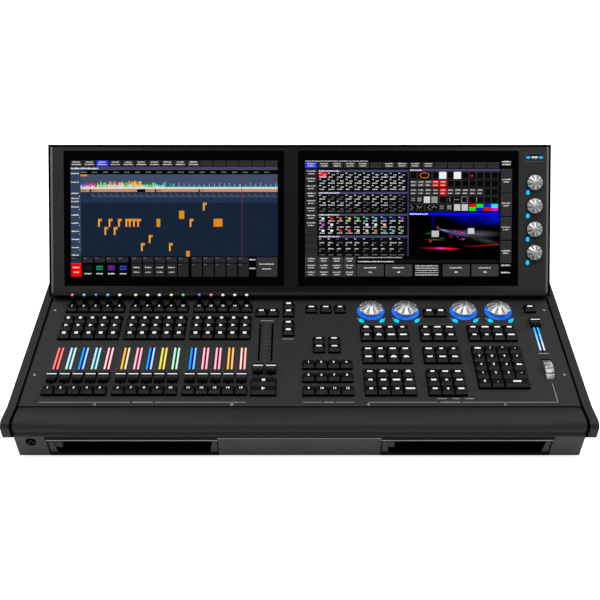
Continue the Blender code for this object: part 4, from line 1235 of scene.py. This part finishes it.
def make_bezel_trim():
    """A recess with lit marks around the socket, and lit marks below the side encoders."""
    drawing = plates("display_marks", "display", DISPLAY, "case_paint")
    usb_low, usb_high = corners_in("usb_port", DISPLAY)
    x = (usb_low.x + usb_high.x) / 2
    s = (usb_low.z + usb_high.z) / 2
    face_plate(drawing, x - 0.0152, x + 0.0152, s - 0.0064, s + 0.0064, 0.0016, 0.0002, EDGE_GREY)
    face_plate(drawing, x - 0.0147, x + 0.0147, s - 0.0056, s + 0.0060, 0.0013, 0.0003, BAY_BLACK)
    face_plate(drawing, x - 0.0055, x + 0.0055, s - 0.0002, s + 0.0016, 0.0003, 0.0004, WHITE_PRINT_GLOW)
    for step in range(4):
        left = x - 0.0042 + step * 0.0024
        face_plate(drawing, left, left + 0.0011, s - 0.0026, s - 0.0010, 0.0002, 0.0004, GREY_PRINT_AND_HIGHLIGHT)
    for side in (-1, 1):
        mark_x = x + side * 0.0104
        face_plate(drawing, mark_x - 0.0031, mark_x + 0.0031, s - 0.0024, s + 0.0024, 0.0023, 0.0005,
                   glow(30, 190, 235))
    for index in range(4):
        low, high = corners_in(f"side_encoder_{index + 1}", DISPLAY)
        mark_s = (low.z + high.z) / 2 - 0.0164
        mark_x = (low.x + high.x) / 2 - 0.0102
        for half_x, half_s, radius, out, look in ((0.0034, 0.0046, 0.0030, 0.0004, glow(0, 60, 120)),
                                                  (0.0027, 0.0038, 0.0026, 0.0009, glow(20, 210, 255))):
            face_plate(drawing, mark_x - half_x, mark_x + half_x, mark_s - half_s, mark_s + half_s,
                       radius, out, look)
    finish_plates(drawing)


def make_display_edges():
    """Rounded side rails in a light grey, a painted highlight along the frame's rounded edges, and a lip
    that fills the lower chamfer.
    """
    high = corners_in("display_bezel", DISPLAY)[1]
    rails = bmesh.new()
    for side in (-1, 1):
        outer = side * (high.x - 0.0046)
        points = [(outer, 0.0), (outer - side * 0.0004, -0.0005), (outer - side * 0.0014, -0.0008),
                  (outer - side * 0.0026, -0.0006), (outer - side * 0.0034, 0.0)]
        if side < 0:
            points = points[::-1]
        rings = []
        for s, scale in ((0.0030, 0.2), (0.0042, 0.7), (0.0070, 1.0), (high.z - 0.0090, 1.0),
                         (high.z - 0.0055, 0.7), (high.z - 0.0046, 0.2)):
            rings.append([(x, 0.0001 + t * scale, s) for x, t in points])
        loft(rails, rings)
    # The rails' light grey is a painted highlight.
    shape("display_side_rails", rails, EDGE_GREY, "display", DISPLAY, outward=True)
    lip = bmesh.new()
    section = [(0.0001, 0.0046), (0.0001, -0.0014), (0.0008, -0.0020), (0.0046, -0.0002)]
    reach = high.x - 0.0046
    loft(lip, [[(x, t, s) for t, s in section] for x in (-reach, reach)])
    shape("display_lower_lip", lip, CASE_PAINT, "display", DISPLAY, outward=True)


def darken_chamfers():
    """Paint shade on the chamfers of the display's front frame: they take the near-black edge colour."""
    mesh = NODES["display_bezel"].data
    mesh.materials.clear()
    mesh.materials.append(FRAME_PAINT)
    mesh.materials.append(EDGE_BLACK)
    back = DISPLAY.to_3x3().inverted()
    for face in mesh.polygons:
        normal = back @ face.normal
        if -0.98 < normal.y < -0.3:
            face.material_index = 1


darken_chamfers()
make_bezel_trim()
make_display_edges()

# ---------------------------------------------------------------- pictures on the screens

PICTURE_LEFT = {"left_screen": -0.3808, "right_screen": 0.0091}
PICTURE_TOP = 0.2225          # up the display's face
PICTURE_T = 0.00034           # just in front of the glass
PICTURE_STEP = 0.00005        # each layer stands this much further out


class Picture:
    """A flat picture drawn with rectangles. x goes right and y down, in millimetres."""

    def __init__(self, screen):
        self.drawing = plates(screen + "_picture", "display", DISPLAY, "screen_glass")
        self.left = PICTURE_LEFT[screen]
        self.chance = random.Random(screen)

    def polygon(self, points, color, layer=1, look=None):
        """A filled outline, clockwise as seen on the screen."""
        front = PICTURE_T - layer * PICTURE_STEP
        look = ink(self.drawing, look or glow(*color))
        rings = [[(self.left + x * MM, t, PICTURE_TOP - y * MM) for x, y in points]
                 for t in (front + PICTURE_STEP * 0.6, front)]
        loft(self.drawing["bm"], rings, look)

    def block(self, x, y, width, height, color, layer=1):
        """A filled rectangle."""
        corners = [(x, y + height), (x + width, y + height), (x + width, y), (x, y)]
        self.polygon(corners, color, layer)

    def words(self, x, y, width, height=1.6, color=(215, 215, 215), layer=3):
        """A stand-in for text: a row of small marks."""
        right = x + width
        while x < right - 0.3:
            step = min(right - x, self.chance.uniform(0.8, 2.0))
            rise = height * self.chance.choice((0.7, 0.85, 1.0))
            self.block(x, y + height - rise, step, rise, color, layer)
            x += step + self.chance.choice((0.35, 0.35, 0.9))

    def lines(self, x, y, rows, height=1.8, color=(215, 215, 215)):
        """Rows of text stand-ins, each (right, down, width) from a corner."""
        for right, down, width in rows:
            self.words(x + right, y + down, width, height, color)

    def frame(self, x, y, width, height, line, color, layer=3):
        """The outline of a rectangle."""
        self.block(x, y, width, line, color, layer)
        self.block(x, y + height - line, width, line, color, layer)
        self.block(x, y, line, height, color, layer)
        self.block(x + width - line, y, line, height, color, layer)

    def finish(self):
        """Make the piece."""
        return finish_plates(self.drawing)


def soft_light(name, left, blobs):
    """A black picture with soft elliptical spots of light.

    Each spot has its middle and half sizes in millimetres, its turn in degrees, its colour and
    the power with which it fades.
    """
    made, tree, output = new_material(name)
    place = add(tree, "TexCoord").outputs["Object"]
    total = None
    for x, y, half_x, half_y, turn, color, fade in blobs:
        leaning = DISPLAY_LEAN @ Matrix.Rotation(math.radians(turn), 4, "Y")
        mapping = add(tree, "Mapping", vector_type="TEXTURE")
        mapping.inputs["Location"].default_value = DISPLAY @ Vector(
            (left + x * MM, PICTURE_T, PICTURE_TOP - y * MM))
        mapping.inputs["Rotation"].default_value = leaning.to_euler()
        mapping.inputs["Scale"].default_value = (half_x * MM, 1.0, half_y * MM)
        tree.links.new(place, mapping.inputs["Vector"])
        spot = add(tree, "TexGradient", {"Vector": mapping.outputs["Vector"]}, gradient_type="SPHERICAL")
        power = add(tree, "Math", {0: spot.outputs["Fac"], 1: fade}, operation="POWER")
        tint = add(tree, "VectorMath", {0: [linear(channel) for channel in color],
                                        "Scale": power.outputs["Value"]}, operation="SCALE")
        light = tint.outputs["Vector"]
        if total is not None:
            light = add(tree, "VectorMath", {0: total, 1: light}, operation="ADD").outputs["Vector"]
        total = light
    shader = add(tree, "Emission", {"Color": total})
    tree.links.new(shader.outputs["Emission"], output)
    return made


TAB_GREY = (46, 46, 48)
TAB_BLUE = (40, 60, 225)
TITLE_PURPLE = (74, 68, 104)
NAVY = (22, 36, 54)
NOTE_ORANGE = (222, 140, 30)
WHITE = (235, 235, 235)
# Peaks of the sound wave: from, to, colour and height of the peaks.
WAVE_COLORS = ((17, 23, (70, 110, 235), 6), (23, 30, (230, 60, 200), 7), (30, 45, (245, 70, 110), 8),
               (45, 61, (110, 225, 90), 10), (61, 89, (250, 190, 150), 10), (89, 97, (120, 215, 80), 9),
               (97, 119, (250, 205, 70), 11), (119, 141, (110, 220, 110), 9), (141, 156, (70, 205, 230), 8),
               (156, 170, (60, 200, 170), 7), (170, 344, (80, 200, 205), 6))
NOTES = ((45.4, 96.8), (55.8, 110.3), (63.0, 96.8), (71.4, 110.3), (78.6, 96.8), (90.9, 96.8), (96.7, 96.8),
         (103.5, 96.8), (110.5, 96.8), (129.6, 123.6), (116.6, 137.0), (163.3, 137.0), (197.8, 96.8),
         (220.0, 69.8))
NOTE_BLOCKS = ((142.7, 96.8, 6.1, 13.4), (180.2, 83.4, 8.7, 13.4), (237.7, 96.8, 14.6, 13.0),
               (191.7, 150.3, 6.1, 9.2))
SIDE_ROWS = (21.7, 36.0, 54.5, 63.0, 68.0, 77.0, 90.5, 104.0, 117.5, 131.0, 144.5, 157.0)


def draw_left_screen():
    """A timeline page: tabs, a sound wave, tracks with orange notes, and two rows of buttons."""
    view = Picture("left_screen")
    for index in range(16):
        x = index * 21.6
        color = TAB_BLUE if index == 2 else TAB_GREY
        view.block(x, 0.0, 20.1, 10.2, color)
        if index < 10:
            view.lines(x, 0.0, ((4.0, 1.6, 12.0), (2.5, 5.6, 15.0)), 1.9)
    view.block(0.0, 10.8, 344.2, 5.1, TITLE_PURPLE)
    view.words(1.0, 12.0, 46.0, 2.6, WHITE)
    view.block(0.0, 17.0, 16.8, 142.5, (50, 66, 88))
    for y in SIDE_ROWS:
        view.words(1.2, y - 1.0, 12.5, 1.9, WHITE)
    for y in (59.5, 81.3, 94.5, 108.0, 121.6, 135.0, 148.5):
        view.block(14.0, y - 0.6, 1.2, 1.2, WHITE, 3)
    for index in range(18):
        view.words(17.0 + 17.9 * index + 1.0, 18.8, 8.5, 1.4, (150, 150, 155))
    view.block(16.8, 23.0, 327.4, 24.4, (66, 78, 104))
    view.block(16.8, 23.2, 11.0, 3.1, NOTE_ORANGE, 2)
    view.block(16.8, 44.5, 327.4, 2.9, (215, 222, 232), 2)
    for start, end, color, height in WAVE_COLORS:
        x = start
        while x < end:
            dense = start < 150
            peak = height * view.chance.uniform(0.35, 1.0) if dense else (
                height * view.chance.uniform(0.75, 1.25) if (x - start) % 8.5 < 1.6 else 1.2)
            view.block(x, 44.5 - peak, 1.1, peak, color, 3)
            if dense and view.chance.random() < 0.5:
                view.block(x, 44.5 - peak * 0.45, 1.1, peak * 0.45, WHITE, 4)
            x += 1.4
    for start, end in ((16.8, 32.0), (34.5, 110.5), (124.5, 140.0), (142.5, 212.5), (215.0, 344.2)):
        view.block(start, 47.7, end - start, 4.4, (205, 140, 90), 2)
        view.words(start + 1.0, 49.0, min(7.0, end - start - 2.0), 1.4, (120, 70, 40))
    view.block(16.8, 52.2, 327.4, 8.8, (34, 48, 70))
    for index in range(31):
        x = 34.5 + index * 10.0
        view.polygon([(x, 61.0), (x + 9.4, 61.0), (x + 9.4, 59.0), (x, 53.4)], (62, 74, 98), 2)
    view.block(16.8, 61.0, 327.4, 9.0, (34, 52, 76))
    view.block(16.8, 70.0, 327.4, 89.5, NAVY)
    for row in range(1, 7):
        view.block(16.8, 70.0 + 13.5 * row, 327.4, 0.45, (30, 46, 66), 2)
    view.block(284.5, 23.0, 0.8, 136.5, (120, 40, 50), 4)
    for x, y in NOTES:
        view.polygon([(x, y + 13.4), (x + 3.0, y + 13.4), (x + 3.0, y + 4.2), (x + 6.4, y + 4.2),
                      (x + 6.4, y), (x, y)], NOTE_ORANGE, 3)
        view.block(x + 0.9, y + 1.3, 0.9, 11.2, (255, 190, 110), 4)
    for x, y, width, height in NOTE_BLOCKS:
        view.block(x, y, width, height, NOTE_ORANGE, 3)
    icons = {1: (20, 40, 40), 2: (15, 170, 120), 3: (140, 50, 200), 4: (60, 80, 225)}
    for index in range(15):
        x = (index // 5) * 100.4 + (index % 5) * 19.5
        view.block(x, 160.7, 17.2, 8.7, (44, 44, 46))
        view.words(x + 0.8, 161.8, 6.0, 1.3, (120, 120, 120))
        if index in icons:
            view.block(x, 171.0, 17.2, 22.0, (8, 8, 9))
            view.frame(x + 3.4, 175.0, 10.2, 6.6, 1.2, icons[index], 3)
            view.block(x + 6.8, 177.4, 3.4, 1.6, icons[index], 3)
            view.words(x + 3.0, 187.0, 11.0, 2.0, WHITE)
            continue
        view.block(x, 171.0, 17.2, 22.0, (235, 8, 12) if index == 0 else (40, 40, 42))
        if index > 8:
            view.words(x + 0.8, 172.2, 5.0, 1.2, (110, 110, 110))
            continue
        tone = (245, 220, 220) if index == 0 else (205, 205, 205)
        view.words(x + 3.0, 176.5, 11.0, 2.2, tone)
        view.words(x + 4.0, 184.5, 9.0, 2.0, tone)
    view.block(0.0, 169.6, 17.2, 1.2, TAB_BLUE, 2)
    view.words(297.5, 163.5, 9.5, 2.2, WHITE)
    view.words(297.5, 178.0, 9.5, 2.2, WHITE)
    view.block(309.0, 161.0, 34.7, 32.0, (52, 52, 54))
    view.lines(0.0, 0.0, ((314.0, 171.0, 24.0), (318.0, 179.0, 16.0)), 2.0)
    view.finish()


WINDOW_TOPS = (15.7, 52.1, 88.4, 124.6)
SWATCH_ROWS = (
    ((240, 240, 240), (230, 40, 40), (210, 100, 40), (225, 215, 60), (70, 200, 70), (60, 170, 130),
     (60, 200, 220), (50, 80, 220), (40, 50, 140), (150, 60, 190)),
    ((215, 70, 190), (240, 240, 240), None, None, None, (200, 245, 250), (240, 240, 240),
     (250, 200, 165), None, None),
    ((240, 240, 240), (240, 240, 240), (230, 40, 40), (240, 70, 110), (250, 215, 225), (250, 200, 165),
     (205, 120, 50), (40, 160, 160), (60, 200, 220), (70, 200, 90)))


def draw_windows(view):
    """Four palette windows of thirty cells each."""
    for number, top in enumerate(WINDOW_TOPS):
        view.block(22.0, top, 150.0, 3.5, (70, 72, 110))
        view.words(23.0, top + 0.8, 34.0, 1.9, WHITE)
        for row in range(3):
            for column in range(10):
                x = 22.6 + column * 14.65
                y = top + 4.0 + row * 10.1
                view.block(x, y, 14.0, 9.5, (14, 14, 15))
                if number == 0 and row == 0 and column == 0:
                    view.block(x, y, 13.8, 8.6, (225, 30, 30), 2)
                dim = number in (1, 3) and (row == 2 or view.chance.random() < 0.25)
                tone = (110, 110, 112) if dim else (225, 225, 225)
                view.words(x + 0.8, y + 0.7, 3.0, 1.7, tone)
                view.words(x + 1.5, y + 6.9, view.chance.uniform(6.0, 11.5), 1.8, tone)
                if number in (0, 1):
                    view.words(x + 7.0, y + 3.2, 5.0, 1.8, tone)
                swatch = SWATCH_ROWS[row][column] if number == 2 else None
                if swatch:
                    view.block(x + 5.0, y + 2.2, 4.4, 3.6, swatch, 4)
    view.block(170.3, 15.7, 2.4, 143.0, (56, 54, 80), 2)


def draw_media(view):
    """A window of media icons, five rows of twelve cells."""
    view.block(173.5, 14.1, 150.5, 3.8, TITLE_PURPLE)
    view.words(174.5, 15.1, 20.0, 1.9, WHITE)
    for row, top in enumerate((19.0, 32.6, 46.2, 59.4, 72.2)):
        for column in range(12):
            x = 174.7 + column * 12.28
            shade = (10, 10, 11)
            if row == 2 and column < 10:
                shade = (52, 52, 54)
            if row == 1 and column < 5:
                shade = (66, 66, 68) if column < 3 else (215, 25, 25)
            if row == 2 and column == 4:
                shade = (215, 25, 25)
            view.block(x, top, 11.6, 11.6, shade)
            if shade == (10, 10, 11):
                view.frame(x, top, 11.6, 11.6, 0.45, (70, 70, 72), 2)
            elif row < 3:
                view.lines(x, top, ((1.6, 2.0, 8.0), (1.6, 7.4, 7.0)), 1.6, (230, 230, 230))
    for x in (222.8, 247.2):
        view.block(x, 19.0, 12.0, 11.6, (240, 240, 240), 3)
    for half_x, half_y, color, layer in ((8.0, 4.6, (235, 120, 50), 3), (7.0, 3.7, (10, 10, 11), 4)):
        ellipse = [(198.6 + half_x * px, 24.8 + half_y * py) for px, py in circle(0.0, 0.0, 1.0, 20)]
        view.polygon(ellipse[::-1], color, layer)
    view.block(276.0, 23.8, 3.0, 2.8, (230, 40, 40), 3)
    for x, top, tone in ((197.6, 59.4, 215), (210.2, 59.4, 150), (248.0, 72.2, 205), (260.6, 72.2, 205)):
        view.block(x, top + 0.4, 10.2, 10.6, (tone, tone, tone), 3)
        for share in (0.33, 0.66):
            shade = (tone - 40,) * 3
            view.block(x + 10.2 * share, top + 0.4, 0.35, 10.6, shade, 4)
            view.block(x, top + 0.4 + 10.6 * share, 10.2, 0.35, shade, 4)
    quads = ((272.9, (235, 15, 10), (20, 235, 30)), (285.2, (20, 235, 30), (10, 20, 235)),
             (297.5, (10, 20, 235), (235, 15, 10)), (309.8, (10, 235, 245), (240, 10, 235)))
    for x, first, second in quads:
        view.block(x, 72.2, 11.0, 5.7, first, 3)
        view.block(x, 77.9, 11.0, 5.7, second, 3)
    line = (165, 165, 165)
    for x, top in ((176.5, 59.8), (224.4, 72.8), (187.0, 59.8), (236.6, 72.8)):
        for step in (1.4, 4.6) if x in (176.5, 224.4) else (0.6, 2.2, 3.8, 5.4):
            view.block(x + step, top + 1.0, 0.5, 7.6, line, 3)
            view.block(x, top + step + 1.6, 7.0, 0.5, line, 3)
    view.block(240.5, 61.0, 0.7, 7.4, line, 3)
    view.block(247.6, 64.6, 9.4, 0.6, line, 3)
    view.block(285.0, 60.6, 0.7, 8.6, line, 3)
    view.frame(260.2, 60.0, 9.8, 10.2, 0.5, line, 3)
    for x, y, way, stand in ((178.0, 78.0, 1, False), (206.0, 78.0, -1, False), (190.5, 79.5, 1, True),
                             (215.0, 75.0, -1, True)):
        for side in (-1, 1):
            if stand:
                corners = [(x, y), (x + 4.4 * side, y - 4.0 * way), (x + 4.4 * side, y - 4.8 * way),
                           (x, y - 0.9 * way)]
            else:
                corners = [(x + 2.4 * way, y), (x - 2.4 * way, y + 4.4 * side),
                           (x - 3.1 * way, y + 4.4 * side), (x + 1.6 * way, y)]
            area = sum(a[0] * b[1] - b[0] * a[1] for a, b in zip(corners, corners[1:] + corners[:1]))
            view.polygon(corners if area < 0 else corners[::-1], line, 3)


SPARKS = ((235, 60, 90), (240, 90, 160), (120, 110, 240))
# Spots of light in the stage picture.
STAGE_SPOTS = (
    (300.0, 82.0, 56.0, 24.0, 0.0, (0, 10, 200), 1.6), (262.0, 92.0, 50.0, 18.0, 18.0, (0, 0, 150), 1.8),
    (318.0, 98.0, 40.0, 14.0, 0.0, (0, 20, 190), 1.8), (213.0, 100.0, 4.0, 18.0, 0.0, (0, 0, 110), 1.6),
    (252.0, 121.0, 28.0, 5.0, 10.0, (90, 85, 150), 1.5), (290.0, 122.0, 42.0, 8.0, 0.0, (85, 85, 92), 1.6),
    (300.0, 133.0, 40.0, 6.0, 14.0, (60, 60, 62), 1.7), (270.0, 119.0, 18.0, 6.0, 0.0, (75, 65, 85), 1.4),
    (232.0, 116.0, 12.0, 1.6, 12.0, (150, 170, 255), 1.1),
    (206.0, 121.0, 7.0, 1.4, -4.0, (20, 140, 40), 1.1),
    (216.0, 131.5, 20.0, 1.7, 2.0, (105, 95, 15), 1.4), (228.0, 129.0, 6.0, 2.2, 0.0, (0, 90, 65), 1.4),
    (209.0, 134.0, 2.4, 2.4, 0.0, (255, 50, 40), 0.8), (221.1, 111.4, 2.2, 2.2, 0.0, (255, 45, 45), 0.6),
    (250.0, 117.0, 12.0, 1.6, 6.0, (220, 30, 60), 1.1), (243.0, 126.0, 6.0, 3.4, 30.0, (130, 15, 50), 1.4),
    (262.0, 130.5, 6.0, 1.8, -6.0, (210, 40, 60), 1.2), (262.0, 119.5, 4.0, 1.6, 0.0, (220, 70, 100), 1.0),
    (224.0, 146.0, 34.0, 1.9, 1.5, (235, 0, 80), 0.9), (238.0, 146.5, 20.0, 2.6, 2.0, (235, 15, 50), 1.0),
    (226.0, 145.6, 10.0, 2.0, 0.0, (160, 50, 235), 1.0),
    (300.0, 141.0, 40.0, 1.1, -3.5, (205, 10, 25), 1.0))


def draw_visualiser(view):
    """A dark stage picture: a blue haze, soft coloured beams, two fixtures and a red floor line."""
    view.block(173.5, 86.4, 150.5, 4.6, (8, 8, 235))
    view.words(174.5, 87.6, 30.0, 2.2, WHITE)
    stage = soft_light("stage_picture", view.left, STAGE_SPOTS)
    view.polygon([(173.5, 91.0), (324.0, 91.0), (324.0, 158.5), (173.5, 158.5)][::-1], None, 1, stage)
    view.block(210.8, 116.5, 12.0, 10.4, (190, 190, 194), 4)
    view.block(271.1, 112.4, 10.6, 9.4, (205, 205, 208), 4)
    for _ in range(14):
        x = 250.0 + view.chance.random() * 22.0
        y = 112.0 + view.chance.random() * 20.0
        view.block(x, y, 1.0, 0.9, view.chance.choice(SPARKS), 4)


def draw_right_screen():
    """A programming page: tabs, palette windows, media icons, a stage picture and buttons."""
    view = Picture("right_screen")
    view.words(1.0, 0.2, 103.0, 1.7, (190, 190, 190))
    for index in range(15):
        x = index * 21.6
        view.block(x, 3.0, 20.1, 9.7, TAB_BLUE if index == 0 else TAB_GREY)
        if index < 10 and index != 5:
            view.lines(x, 0.0, ((3.5, 4.4, 13.0), (4.5, 8.2, 11.0)))
    for index in range(12):
        y = 14.2 + 12.25 * index
        view.block(0.0, y, 20.4, 11.5, (44, 44, 46))
        if index < 8:
            view.lines(0.0, y, ((3.0, 2.5, 14.0), (5.0, 6.9, 10.0)))
    draw_windows(view)
    draw_media(view)
    draw_visualiser(view)
    for row in range(3):
        for column in range(4):
            view.block(column * 21.4, 159.6 + row * 11.3, 20.4, 10.5, (56, 56, 58))
            view.words(column * 21.4 + 4.0, 162.0 + row * 11.3, 12.0, 1.8)
            view.words(column * 21.4 + 5.5, 166.0 + row * 11.3, 9.0, 1.8)
    view.words(88.0, 160.2, 74.0, 1.8, (190, 190, 190))
    view.block(86.2, 165.2, 236.0, 5.1, (20, 20, 22))
    view.words(88.0, 166.8, 60.0, 1.9, WHITE)
    for x in (86.2, 133.7, 229.5, 277.6):
        view.block(x, 172.5, 45.0, 20.0, (58, 58, 60))
        view.words(x + 12.0, 177.0, 20.0, 2.2)
        view.words(x + 20.0, 184.0, 5.0, 2.6, WHITE)
    view.block(181.2, 172.5, 46.0, 20.0, (12, 12, 13))
    for line in range(5):
        view.words(184.0, 174.0 + line * 3.8, 38.0, 1.8, (210, 210, 210))
    for y in (1.0, 5.6, 173.0, 185.0):
        view.words(327.0, y, 15.0, 2.2, WHITE)
    for y, height in ((14.0, 39.0), (53.8, 38.1), (93.5, 38.1), (133.3, 37.2)):
        view.block(325.4, y, 18.6, height, (48, 48, 50))
        view.words(327.5, y + height / 2 - 3.0, 14.0, 2.0)
        view.words(330.0, y + height / 2 + 1.0, 9.0, 2.0)
    view.finish()


draw_left_screen()
draw_right_screen()

# ---------------------------------------------------------------- floor


def make_floor():
    """A pale floor under the desk."""
    bm = bmesh.new()
    turned(bm, [(2.6, -0.004), (2.6, 0.0)], 0.0, 0.2, 96)
    mesh = bpy.data.meshes.new("floor")
    bm.to_mesh(mesh)
    bm.free()
    made, tree, output = new_material("floor_white")
    path = add(tree, "LightPath")
    seen = add(tree, "Math", {0: path.outputs["Is Camera Ray"], 1: 0.70, 2: 0.12},
               operation="MULTIPLY_ADD")
    shader = add(tree, "BsdfPrincipled", {
        "Base Color": (0.88, 0.88, 0.88, 1.0), "Roughness": 0.9, "Specular IOR Level": 0.1,
        "Emission Color": (1.0, 1.0, 1.0, 1.0), "Emission Strength": seen.outputs["Value"]})
    tree.links.new(shader.outputs["BSDF"], output)
    mesh.materials.append(made)
    floor = bpy.data.objects.new("floor", mesh)
    bpy.context.scene.collection.objects.link(floor)


make_floor()
